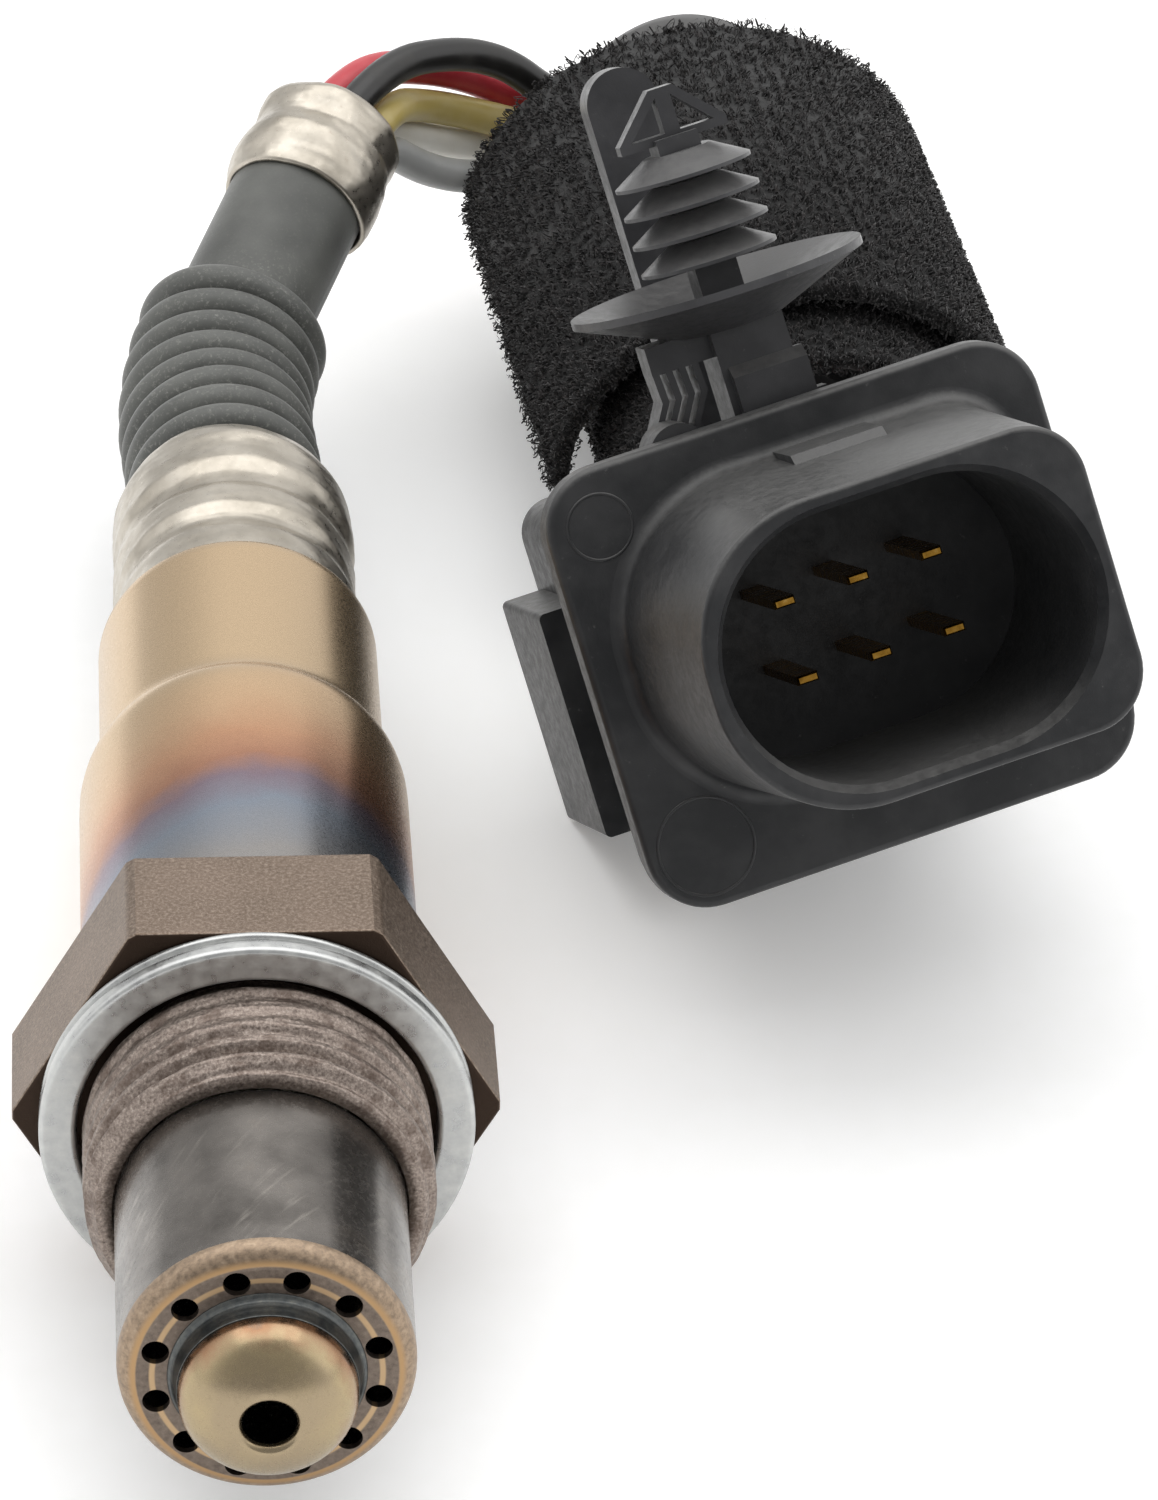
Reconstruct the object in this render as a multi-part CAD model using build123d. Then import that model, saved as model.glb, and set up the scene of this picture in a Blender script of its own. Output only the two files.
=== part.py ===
from build123d import *
import math
import os

# A wideband oxygen sensor on its short lead, lying on a table, in millimetres.
# The sensor's axis is +Y, from the gas end to the cable end, and +Z is up.
# The origin is on that axis, in the plane where the sealing washer meets the hexagon.

# --- body -------------------------------------------------------------------------------------
hex_across_flats = 22.0
hex_corner_radius = 12.55    # the corners are turned down to this
hex_length = 7.26
hex_chamfer = 0.3
thread_major_radius = 9.0
thread_end = -8.8            # front end of the thread
undercut_radius = 8.1
spigot_radius = 7.0
spigot_length = 2.0
element_bore_radius = 4.85
seat_lip_radius = 3.6
seat_lip_front = -4.0
seat_lip_rear = -2.0
front_chamber_radius = 5.4
rear_collar_length = 6.5
washer_radius = 11.2
washer_clearance = 0.25      # it turns freely over the thread
washer_thickness = 1.25
washer_edge_radius = 0.3
washer_groove_place = -0.5   # groove round its rim, where its two folds meet
washer_groove_width = 0.16
washer_groove_depth = 0.4

# --- protection tubes -------------------------------------------------------------------------
outer_tube_radius = 7.4
tube_wall = 0.4
tube_clearance = 0.02
outer_tube_length = 13.8
outer_tube_corner = 1.1
inlet_ring_radius = 5.67
inlet_radius = 0.68
inlet_count = 12
inner_tube_radius = 4.45
dome_straight = 1.6          # length of straight tube in front of the outer tube's face
dome_reach = 4.5             # how far the inner tube stands out of the outer one
dome_hole_radius = 1.35
side_hole_count = 6
side_hole_radius = 0.6
side_hole_setback = 2.5

# --- sensing element and its packing ----------------------------------------------------------
element_width = 4.0
element_thickness = 1.6
element_front = -21.0
element_rear = 38.0
element_clearance = 0.05
packing_clearance = 0.05
lower_bush_length = 4.0
talc_length = 3.5
upper_bush_length = 6.0

# --- sleeve, contacts, grommet and collar -----------------------------------------------------
sleeve_wall = 0.45
sleeve_radius = 8.95
sleeve_step_radius = 7.8
sleeve_shoulder_start = 26.5
sleeve_shoulder_end = 32.3
sleeve_end = 44.6
sleeve_neck_radius = 6.45
sleeve_neck_end = 56.0
holder_front = 24.0
holder_length = 16.0
holder_clearance = 0.3
contact_width = 1.0
contact_thickness = 0.3
contact_front = 31.0
contacts_above = (-1.35, 0, 1.35)
contacts_below = (-0.9, 0.9)
contact_stand_off = 0.1
grommet_front = 45.5
grommet_clearance = 0.05
collar_wall = 0.4
collar_fit = 0.05
collar_gap = 0.1
collar_end = 60.0
collar_mouth_radius = 6.3
collar_taper = 1.5
crimp_depth = 0.3
crimp_width = 2.2
crimp_places = (49.4, 53.9)

# --- hose and its ferrule ---------------------------------------------------------------------
hose_bore_radius = 3.3
hose_radius = 4.15
bellows_root_radius = 4.95
bellows_radius = 5.75
bellows_rib_radius = 1.05
bellows_pitch = 2.4
bellows_ribs = 8
bellows_first_rib = 63.3
bellows_overrun = 0.6        # thick wall past the last rib's middle
rib_seam_turn = 17.0         # keeps each rib's seam off the tube's
cuff_length = 2.2
cuff_clearance = 0.1
hose_first_corner = 60.1     # where the straight collar hands over to the hose's first slight bend
hose_corner = (-1.17, 76.66, -0.81)
hose_heading = (0.374, 0.863, 0.341)    # direction of the hose beyond its main bend
bore_run_out = 1.0           # how far the bore's cut runs past the hose's two ends
hose_end = 17.4              # from the main corner, along that direction
ferrule_start = 14.8
ferrule_end = 21.7
ferrule_wall = 0.3
ferrule_fit = 0.05
ferrule_bulge = 0.3
ferrule_lip = 0.1
ferrule_groove = 0.12
plug_length = 1.6
plug_clearance = 0.05

# --- lead -------------------------------------------------------------------------------------
wire_radius = 1.05
wire_hole_clearance = 0.1
wire_start = 44.0
wire_ring_radius = 1.92      # ring of five wires in the hose and in the sheath
wire_ring_angle = 75.0       # of the first wire in the hose
sheath_ring_angle = 90.0     # and in the sheath
wire_exit_radius = 2.4       # the ring opens out where the wires fan toward the connector
sheath_bore_radius = 3.3
sheath_wall = 0.45
sheath_length = 46.0
sheath_end_gap = 8.0         # from the sheath's end to the last point of the bundle's middle
wire_colours = ("black", "red", "yellow", "white", "grey")

# --- wrap -------------------------------------------------------------------------------------
wrap_width = 34.0
wrap_thickness = 1.9
wrap_turns = 2.0
wrap_span = 28.6
wrap_height = 22.1
wrap_side_pitch = 2.9
wrap_layer_pitch = 2.1
wrap_yaw = 6.0
wrap_front = (33.4, 67.6)
wrap_shift = 0.5
wrap_tail_lift = 0.5

# --- connector --------------------------------------------------------------------------------
connector_place = (32.75, 31.69, 9.40)
connector_yaw = 9.2
connector_pitch = 26.7
connector_roll = 12.6
flange_width = 28.55
flange_height = 25.05
flange_corner = 3.5
flange_plate = 1.6
flange_step = 0.2
shroud_width = 22.65
shroud_height = 16.75
shroud_round_flat = 1.55     # straight part left between the round end's two fillets
shroud_square_end = 3.3
shroud_depth = 17.0
shroud_draft = 1.6
shroud_wall = 1.05
shroud_rise = 1.05           # shroud's centre above the flange's centre
shroud_mouth_chamfer = 0.4
shroud_root_fillet = 0.9
flange_edge_fillet = 0.4
mouth_edge_fillet = 0.3
rail_edge_fillet = 0.35
floor_depth = 1.0
floor_thickness = 3.0
pin_columns = 3
pin_rows = 2
pin_pitch_x = 4.22
pin_pitch_y = 4.29
pin_width = 1.2
pin_thickness = 0.5
pin_reach = 7.2
latch_width = 5.3
latch_height = 0.8
latch_length = 6.0           # forward of the flange
latch_flat = 4.4             # length at full height before it slopes down
latch_place = 1.6
rear_width = 23.0
rear_height = 16.6
rear_drop = 0.4              # rear box's centre below the shroud's
rear_wall = 1.3
rear_end = 22.5
rear_corner = 2.0
rail_reach = 14.0
rail_low = -8.85
rail_high = 4.25
rail_front = 11.8
boss_radius = 1.75
boss_place = -5.55
boss_length = 3.0
cover_thickness = 1.5
seal_length = 4.5
seal_clearance = 0.05
seal_radius = 1.95
terminal_width = 2.2
resistor_length = 3.2
resistor_radius = 0.8

# --- fir-tree clip ----------------------------------------------------------------------------
clip_setback = 6.0           # stem's axis behind the flange's front face
clip_side = 0.0              # and beside its middle
clip_foot_height = 1.6
clip_foot_width = 6.4
clip_foot_front = 3.4
clip_foot_rear = 18.0
clip_neck_left = -1.6
clip_neck_right = 2.6
clip_neck_depth = 4.0
disc_radius = 8.3
disc_height = 19.6
disc_drop = 2.6
disc_thickness = 0.45
disc_hub_radius = 3.2
disc_hub_thickness = 0.75
stem_width = 2.4
fin_radius = 3.85
fin_root_radius = 1.9
fin_height = 1.35
fin_lowest = 20.7
fin_pitch = 1.62
fin_count = 4
barb_base = 27.5
barb_top = 30.5
barb_half_width = 3.1
barb_tip_half_width = 0.7
barb_depth = 1.2
barb_post = 0.9
barb_bar = 0.5               # of the bars round its two windows
barb_lean = 0.7              # width a sloping bar takes along the base
wedge_low = 11.2
wedge_high = 14.9
wedge_left = -1.2
wedge_right = 3.1
wedge_slope = 0.7
comb_left = -5.2
comb_right = -2.2
comb_top = 17.2
comb_bar = 1.6
comb_fingers = 4
comb_finger_width = 0.4
comb_finger_end = 11.4
comb_kink = 0.8
comb_depth = 2.4
bracket_reach = 4.1
bracket_high = 12.2
tongue_setback = 16.0
tongue_side = -0.3
tongue_width = 4.1
tongue_thickness = 2.0
tongue_top = 31.6

# --- derived ----------------------------------------------------------------------------------
table = -washer_radius
spigot_end = thread_end - spigot_length
outer_tube_bore = outer_tube_radius - tube_wall
tube_face = thread_end - outer_tube_length
dome_tip = tube_face - dome_reach
body_rear = hex_length + rear_collar_length
packing_radius = element_bore_radius - packing_clearance
talc_front = seat_lip_rear + lower_bush_length
upper_bush_front = talc_front + talc_length
sleeve_bore = sleeve_radius - sleeve_wall
neck_bore = sleeve_neck_radius - sleeve_wall
collar_bore = sleeve_neck_radius + collar_fit
collar_radius = collar_bore + collar_wall
collar_front = sleeve_end + collar_gap
cuff_start = sleeve_neck_end + cuff_clearance
cuff_radius = collar_bore - cuff_clearance
hose_direction = Vector(*hose_heading).normalized()
hose_corner_point = Vector(*hose_corner)
ferrule_bore = hose_radius + ferrule_fit
plug_start = hose_end + ferrule_fit
plug_end = plug_start + plug_length
shroud_round_end = (shroud_height - shroud_round_flat) / 2


def beyond_corner(distance):
    """A point on the hose's second straight stretch."""
    return hose_corner_point + hose_direction * distance


def turned(points):
    """A solid of revolution about the sensor's axis, from (radius, place) points."""
    return revolve(make_face(Polyline(*points, close=True)), Axis.Y)


def ring(inner, outer, start, end):
    return turned([(inner, start), (outer, start), (outer, end), (inner, end)])


def along_y(sketch, start, end):
    """Extrude a sketch of the XZ plane from one place on the sensor's axis to another."""
    section = Plane(origin=(0, start, 0), x_dir=(1, 0, 0), z_dir=(0, 1, 0))
    return extrude(section * sketch, end - start)


def ring_offsets(radius, first_angle):
    step = 360 / len(wire_colours)
    angles = [math.radians(first_angle + step * i) for i in (0, 1, 4, 2, 3)]
    return [(radius * math.cos(a), radius * math.sin(a)) for a in angles]


# --- frame of the connector: x across, y up its face, z out of the socket -----------------------
def connector_plane():
    yaw, pitch, roll = (math.radians(a) for a in (connector_yaw, connector_pitch, connector_roll))
    out = Vector(math.sin(yaw) * math.cos(pitch), -math.cos(yaw) * math.cos(pitch), math.sin(pitch))
    level = Vector(math.cos(yaw), math.sin(yaw), 0)
    across = level * math.cos(roll) + out.cross(level) * math.sin(roll)
    return Plane(origin=connector_place, x_dir=across, z_dir=out)


socket = connector_plane()


def in_connector(shape):
    return socket.location * shape


def pin_places():
    for row in range(pin_rows):
        for column in range(pin_columns):
            x = (column - (pin_columns - 1) / 2) * pin_pitch_x
            y = shroud_rise + ((pin_rows - 1) / 2 - row) * pin_pitch_y
            yield x, y


def block(left, right, low, high, rear, front):
    """A box in the connector's frame, from its six faces."""
    size = (right - left, high - low, front - rear)
    return Pos((left + right) / 2, (low + high) / 2, (rear + front) / 2) * Box(*size)


# --- sensor -----------------------------------------------------------------------------------
def sensor_body():
    blank = along_y(RegularPolygon(hex_across_flats / 2, 6, major_radius=False), 0, hex_length)
    corner = hex_corner_radius
    hex_envelope = turned([
        (0, 0), (corner - hex_chamfer, 0), (corner, hex_chamfer), (corner, hex_length - hex_chamfer),
        (corner - hex_chamfer, hex_length), (0, hex_length)])
    solid = blank & hex_envelope
    solid += turned([
        (0, 0), (undercut_radius, 0), (undercut_radius, -washer_thickness - 0.2),
        (thread_major_radius, -washer_thickness - 0.9), (thread_major_radius, thread_end + 0.6),
        (thread_major_radius - 0.6, thread_end), (spigot_radius, thread_end), (spigot_radius, spigot_end),
        (0, spigot_end)])
    solid += ring(0, sleeve_bore - collar_fit, hex_length, body_rear)
    solid -= ring(0, front_chamber_radius, spigot_end, seat_lip_front)
    solid -= ring(0, seat_lip_radius, seat_lip_front, seat_lip_rear)
    solid -= ring(0, element_bore_radius, seat_lip_rear, body_rear)
    return solid


def sealing_washer():
    """Two folds of sheet pressed together, with rounded rims."""
    bore = thread_major_radius + washer_clearance
    half = washer_groove_width / 2
    bottom = washer_radius - washer_groove_depth
    front = ring(bore, washer_radius, -washer_thickness, washer_groove_place - half)
    front = fillet(front.edges().filter_by(GeomType.CIRCLE), washer_edge_radius)
    rear = ring(bore, washer_radius, washer_groove_place + half, 0)
    outer_edges = rear.edges().filter_by(GeomType.CIRCLE).group_by(SortBy.RADIUS)[-1]
    rear = fillet(outer_edges, washer_edge_radius / 2)
    reach = 2 * half
    return front + rear + ring(bore + washer_edge_radius, bottom, washer_groove_place - reach,
                               washer_groove_place + reach)


def outer_protection_tube():
    shell = ring(0, outer_tube_radius, tube_face, thread_end)
    shell = fillet(shell.edges().sort_by(Axis.Y)[0], outer_tube_corner)
    core = ring(0, outer_tube_bore, tube_face + tube_wall, thread_end)
    core = fillet(core.edges().sort_by(Axis.Y)[0], outer_tube_corner - tube_wall)
    shell -= core
    shell -= ring(0, inner_tube_radius + tube_clearance, tube_face, tube_face + tube_wall)
    for i in range(inlet_count):
        angle = math.radians(360 / inlet_count * (i + 0.5))
        place = Pos(inlet_ring_radius * math.cos(angle), 0, inlet_ring_radius * math.sin(angle))
        shell -= place * ring(0, inlet_radius, tube_face - 1, tube_face + tube_wall + 0.5)
    return shell


def inner_protection_tube():
    inner = inner_tube_radius - tube_wall
    start = tube_face - dome_straight
    flange_front = spigot_end - tube_wall
    with_flange = [(inner, spigot_end), (outer_tube_bore - tube_clearance, spigot_end),
                   (outer_tube_bore - tube_clearance, flange_front), (inner_tube_radius, flange_front),
                   (inner_tube_radius, start)]
    outer_arc = EllipticalCenterArc((0, start), inner_tube_radius, start - dome_tip, 270, arc_size=90)
    inner_arc = EllipticalCenterArc((0, start), inner, start - dome_tip - tube_wall, 270, arc_size=90)
    edges = Polyline(*with_flange) + outer_arc + Line((0, dome_tip), (0, dome_tip + tube_wall))
    edges += inner_arc + Line((inner, start), (inner, spigot_end))
    solid = revolve(make_face(edges), Axis.Y)
    solid -= ring(0, dome_hole_radius, dome_tip - 1, dome_tip + 2)
    hole = Cylinder(side_hole_radius, 2 * inner_tube_radius + 2)
    for i in range(side_hole_count // 2):
        turn = Rot(0, 360 / side_hole_count * i, 0)
        solid -= turn * (Pos(0, flange_front - side_hole_setback, 0) * hole)
    return solid


def sensor_element():
    return along_y(Rectangle(element_width, element_thickness), element_front, element_rear)


def element_slot(start, end):
    size = Rectangle(element_width + 2 * element_clearance, element_thickness + 2 * element_clearance)
    return along_y(size, start, end)


def packing(start, end):
    return ring(0, packing_radius, start, end) - element_slot(start, end)


def shoulder(radius_start, radius_end, start, end):
    """Smooth step between two radii, as an edge in the XY plane."""
    tangents = ((0, 1), (0, 1))
    return Spline((radius_start, start), (radius_end, end), tangents=tangents)


def sleeve_outline(inset):
    """The sleeve's half section from the hexagon to the neck's end, drawn in by the inset."""
    big, step, neck = (r - inset for r in (sleeve_radius, sleeve_step_radius, sleeve_neck_radius))
    end = sleeve_end - inset
    edges = Line((0, hex_length), (big, hex_length)) + Line((big, hex_length), (big, sleeve_shoulder_start))
    edges += shoulder(big, step, sleeve_shoulder_start, sleeve_shoulder_end)
    edges += Polyline((step, sleeve_shoulder_end), (step, end), (neck, end), (neck, sleeve_neck_end),
                      (0, sleeve_neck_end), (0, hex_length))
    return revolve(make_face(edges), Axis.Y)


def protective_sleeve():
    return sleeve_outline(0) - sleeve_outline(sleeve_wall)


def contact_holder():
    radius = sleeve_step_radius - sleeve_wall - holder_clearance
    solid = ring(0, radius, sleeve_shoulder_end, holder_front + holder_length)
    front = ring(0, radius, holder_front, sleeve_shoulder_end)
    solid = solid + front - element_slot(holder_front, element_rear + 0.5)
    for sketch in contact_sketches(element_clearance):
        solid -= along_y(sketch, contact_front - 0.5, holder_front + holder_length)
    return solid


def contact_sketches(clearance):
    """Sections of the five contacts: three above the element and two below it."""
    width = contact_width + 2 * clearance
    thickness = contact_thickness + 2 * clearance
    level = element_thickness / 2 + 2 * element_clearance + contact_thickness / 2 + contact_stand_off
    for x in contacts_above:
        yield Pos(x, level) * Rectangle(width, thickness)
    for x in contacts_below:
        yield Pos(x, -level) * Rectangle(width, thickness)


def contact_springs():
    return [along_y(s, contact_front, wire_start - 0.1) for s in contact_sketches(0)]


def hose_wire_holes(start, end):
    """The wires' holes in the grommet, about the sensor's axis."""
    radius = wire_radius + wire_hole_clearance
    hole = ring(0, radius, start, end)
    return [Pos(x, 0, z) * hole for x, z in ring_offsets(wire_ring_radius, wire_ring_angle)]


def seal_grommet():
    solid = ring(0, neck_bore - grommet_clearance, grommet_front, sleeve_neck_end)
    for hole in hose_wire_holes(grommet_front - 1, sleeve_neck_end + 1):
        solid -= hole
    return solid


def crimp_collar():
    """A thin band over the sleeve's neck and the hose's cuff, with two rolled crimps."""
    outer = [(collar_radius, collar_front)]
    for place in crimp_places:
        outer += [(collar_radius, place - crimp_width / 2), (collar_radius - crimp_depth, place - 0.4),
                  (collar_radius - crimp_depth, place + 0.4), (collar_radius, place + crimp_width / 2)]
    outer += [(collar_radius, collar_end - collar_taper), (collar_mouth_radius, collar_end)]
    inner = [(collar_mouth_radius - collar_wall, collar_end), (collar_bore, collar_end - collar_taper),
             (collar_bore, collar_front)]
    return turned(outer + inner)


# --- hose and ferrule -------------------------------------------------------------------------
def hose_path(start, distance):
    """The hose's middle line, from a place on the sensor's axis to one beyond the main corner."""
    points = [*lead_middle[:3], tuple(beyond_corner(distance))]
    path = FilletPolyline(*points, radius=turn_radii(lead_middle)[:2])
    return path.trim((start - wire_start) / path.length, 1)


def tube_along(path, radius):
    start = Plane(origin=path @ 0, z_dir=path % 0)
    return sweep(start * Circle(radius), path=path)


def bellows_hose():
    """Cuff, ribbed bellows and plain tube, moulded in one."""
    path = hose_path(cuff_start, hose_end)
    length = path.length
    bellows_end = bellows_first_rib + bellows_pitch * (bellows_ribs - 1) + bellows_overrun
    thick = path.trim(0, (bellows_end - cuff_start) / length)
    hose = tube_along(path, hose_radius) + tube_along(thick, bellows_root_radius)
    hose += ring(0, cuff_radius, cuff_start, cuff_start + cuff_length)
    bore = hose_path(cuff_start - bore_run_out, hose_end + bore_run_out)
    hose -= tube_along(bore, hose_bore_radius)
    rib = Torus(bellows_radius - bellows_rib_radius, bellows_rib_radius)
    rib -= Cylinder(hose_radius, 4 * bellows_rib_radius)
    for i in range(bellows_ribs):
        share = (bellows_first_rib + bellows_pitch * i - cuff_start) / length
        seat = Plane(origin=path @ share, z_dir=path % share)
        hose += seat.location * (Rot(0, 0, rib_seam_turn) * rib)
    return hose


def on_hose_end(shape):
    """Place a shape made on +Z, from the corner, on the hose's second stretch, with +Y downward."""
    side = hose_direction.cross(Vector(0, 0, 1))
    return Plane(origin=hose_corner_point, x_dir=side, z_dir=hose_direction).location * shape


def lathe_on_z(points):
    profile = make_face(Plane.XZ * Polyline(*points, close=True))
    return revolve(profile, Axis.Z)


def hose_ferrule():
    radius = ferrule_bore + ferrule_wall
    bulge = radius + ferrule_bulge
    mouth = ferrule_bore - 3 * ferrule_fit
    outer = [(radius - ferrule_lip, ferrule_start), (radius, ferrule_start + 0.4),
             (bulge, ferrule_start + 1.4), (bulge, ferrule_start + 3.2), (radius, ferrule_start + 4.4),
             (radius - ferrule_groove, ferrule_start + 4.8), (radius, ferrule_start + 5.2),
             (radius, ferrule_end - 0.5), (radius - 0.4, ferrule_end)]
    inner = [(mouth - 0.3, ferrule_end), (mouth, ferrule_end - 0.5), (ferrule_bore, plug_end),
             (ferrule_bore, ferrule_start)]
    return on_hose_end(lathe_on_z(outer + inner))


def ferrule_plug():
    plug = Pos(0, 0, (plug_start + plug_end) / 2) * Cylinder(ferrule_bore - plug_clearance, plug_length)
    for x, y in ring_offsets(wire_ring_radius, wire_ring_angle):
        hole = Cylinder(wire_radius + wire_hole_clearance, plug_length + 1)
        plug -= Pos(x, -y, (plug_start + plug_end) / 2) * hole
    return on_hose_end(plug)


# --- lead: the middle of the bundle, and each wire's place about it ------------------------------
def grid_place(column, row):
    x = (column - (pin_columns - 1) / 2) * pin_pitch_x
    y = shroud_rise + ((pin_rows - 1) / 2 - row) * pin_pitch_y
    return x, y


lead_middle = [
    (0, wire_start, 0),
    (0, hose_first_corner, 0),
    hose_corner,
    tuple(beyond_corner(24.5)),
    (14.7, 103.4, 3.8),
    (21.2, 105.2, 0.9),
    (24.7, 109.1, -0.1),
    (29.8, 110.2, 3.5),
    (35.0, 104.9, 2.0),
    (32.7, 94.0, -3.1),
    (33.7, 80.0, -3.2),
    (34.8, 66.0, -2.0),
]
stack_station = 4
grid_run_start = rear_end + cover_thickness + 4.5
terminal_rear = rear_end - seal_length
stack_levels = {"black": 4.45, "red": 2.2, "yellow": -0.4, "white": -2.8, "grey": -4.45}
stack_sides = {"black": 0.95, "red": -1.95, "yellow": -1.95, "white": -1.4, "grey": 1.5}
grid_slots = {"yellow": (0, 0), "black": (1, 0), "red": (2, 0), "grey": (0, 1), "white": (2, 1)}
ring_in_hose = dict(zip(wire_colours, ring_offsets(wire_ring_radius, wire_ring_angle)))
ring_in_sheath = dict(zip(wire_colours, ring_offsets(wire_ring_radius, sheath_ring_angle)))
ring_at_exit = dict(zip(wire_colours, ring_offsets(wire_exit_radius, sheath_ring_angle)))


def offset_at(colour, station):
    """How far the wire lies to the right of the bundle's middle and above it."""
    if station < stack_station:
        return ring_in_hose[colour]
    if station == stack_station:
        return stack_sides[colour], stack_levels[colour]
    if station == len(lead_middle) - 1:
        return ring_at_exit[colour]
    return ring_in_sheath[colour]


def wire_points(colour):
    """The wire's route: the middle's points, each moved in the plane that halves its turn."""
    middle = [Vector(*p) for p in lead_middle]
    points = []
    for i, place in enumerate(middle):
        leaving = (middle[min(i + 1, len(middle) - 1)] - middle[min(i, len(middle) - 2)]).normalized()
        coming = (place - middle[i - 1]).normalized() if i else leaving
        side = coming.cross(Vector(0, 0, 1)).normalized()
        right, above = offset_at(colour, i)
        offset = side * right + side.cross(coming) * above
        halving = (coming + leaving).normalized()
        points.append(place + offset - coming * (offset.dot(halving) / coming.dot(halving)))
    x, y = grid_place(*grid_slots[colour])
    for depth in (grid_run_start, terminal_rear):
        points.append(socket.from_local_coords(Vector(x, y, -depth)))
    return points


def turn_radii(route):
    """0.45 of the shorter run beside each corner, over the tangent of half the turn."""
    points = [Vector(*p) for p in route]
    radii = []
    for before, here, after in zip(points, points[1:], points[2:]):
        turn = (here - before).get_angle(after - here)
        run = min((here - before).length, (after - here).length)
        radii.append(0.45 * run / math.tan(math.radians(turn) / 2))
    return radii


def cord(name, points, radius):
    """A round cord along its route, and a printed check of its radii and its volume."""
    radii = turn_radii(points)
    path = FilletPolyline(*[tuple(p) for p in points], radius=radii)
    solid = tube_along(path, radius)
    expected = math.pi * radius ** 2 * path.length
    print(name, "length", round(path.length, 1), "radii", [round(r, 1) for r in radii],
          "runs", [round((b - a).length, 1) for a, b in zip(points, points[1:])],
          "volume", round(solid.volume / expected, 4))
    return solid


def wire(colour):
    return cord("wire_" + colour, wire_points(colour), wire_radius)


def harness_sheath():
    """The soft sleeve that gathers the wires, turns them back and runs through the wrap."""
    path = FilletPolyline(*lead_middle, radius=turn_radii(lead_middle))
    end = path.length - sheath_end_gap
    covered = path.trim((end - sheath_length) / path.length, end / path.length)
    solid = tube_along(covered, sheath_bore_radius + sheath_wall)
    solid -= tube_along(covered, sheath_bore_radius)
    print("harness_sheath length", round(covered.length, 1),
          "radii", [round(r, 1) for r in turn_radii(lead_middle)[5:]])
    return solid


# --- wrap -------------------------------------------------------------------------------------
def wrap_curve(inset, points_a_turn=16):
    """One face of the rolled strap, as a flattened spiral from its free end inward."""
    start_high = (wrap_height + wrap_layer_pitch) / 2
    start_wide = (wrap_span + wrap_side_pitch / 2) / 2
    points = []
    for i in range(int(wrap_turns * points_a_turn) + 1):
        turn = i / points_a_turn
        angle = math.pi * (1.03 - 2 * turn)
        wide = start_wide - wrap_side_pitch * turn - inset
        high = start_high - wrap_layer_pitch * turn - inset
        lift = wrap_tail_lift * max(0, 1 - 8 * turn)
        points.append(((wide + lift) * math.cos(angle), high * math.sin(angle)))
    return points


def harness_wrap():
    """A loop-pile strap rolled twice round the harness, with its end left hanging."""
    outer = wrap_curve(0)
    inner = wrap_curve(wrap_thickness)
    start_high = (wrap_height + wrap_layer_pitch) / 2
    level = table + start_high - 0.75 * wrap_layer_pitch
    edges = Spline(*outer) + Line(outer[-1], inner[-1]) + Spline(*inner) + Line(inner[0], outer[0])
    yaw = math.radians(wrap_yaw)
    across = Vector(math.cos(yaw), math.sin(yaw), 0)
    seat = Vector(*wrap_front, level) + across * wrap_shift
    front = Plane(origin=seat, x_dir=across, z_dir=Vector(math.sin(yaw), -math.cos(yaw), 0))
    return front.location * extrude(make_face(edges), -wrap_width)


# --- connector --------------------------------------------------------------------------------
def shroud_sketch():
    """Round at its left end and nearly square at its right, so that it mates one way."""
    sketch = Rectangle(shroud_width, shroud_height)
    sketch = fillet(sketch.vertices().group_by(Axis.X)[0], shroud_round_end)
    sketch = fillet(sketch.vertices().group_by(Axis.X)[-1], shroud_square_end)
    return Pos(0, shroud_rise) * sketch


def latch_ramp():
    """The nub that the mating connector's latch snaps behind."""
    top = shroud_rise + shroud_height / 2
    rise = top + latch_height
    profile = Polyline((0, top - 1), (0, rise), (latch_flat, rise), (latch_length, top - 0.5),
                       (latch_length, top - 1), close=True)
    side = Plane(origin=(latch_place - latch_width / 2, 0, 0), x_dir=(0, 0, 1), z_dir=(-1, 0, 0))
    return extrude(make_face(side * profile), latch_width, dir=(1, 0, 0))


def flange_and_shroud():
    """The front half: two-layer flange, drafted shroud and the fillets that blend them."""
    rim = RectangleRounded(flange_width, flange_height, flange_corner)
    plate = extrude(rim, -flange_plate)
    plate = fillet(plate.edges().group_by(Axis.Z)[-1], flange_edge_fillet)
    step = RectangleRounded(flange_width - 2 * flange_step, flange_height - 2 * flange_step, flange_corner)
    plate += Pos(0, 0, -flange_plate) * extrude(step, -flange_plate)
    shroud = extrude(Pos(0, 0, shroud_depth) * shroud_sketch(), -shroud_depth, taper=-shroud_draft)
    shroud = fillet(shroud.edges().group_by(Axis.Z)[-1], mouth_edge_fillet)
    inside = abs(shroud_draft)
    solid = plate + shroud
    half_width = shroud_width / 2 + inside
    roots = [e for e in solid.edges().filter_by_position(Axis.Z, -0.01, 0.01)
             if e.center().X < half_width and abs(e.center().Y - shroud_rise) < shroud_height / 2 + inside]
    return fillet(roots, shroud_root_fillet)


def side_rail():
    rail = block(-rail_reach, -rear_width / 2 + 1, rail_low, rail_high, -rear_end, -rail_front)
    outer = rail.edges().filter_by(Axis.Z).group_by(Axis.X)[0]
    return fillet(outer, rail_edge_fillet)


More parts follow.
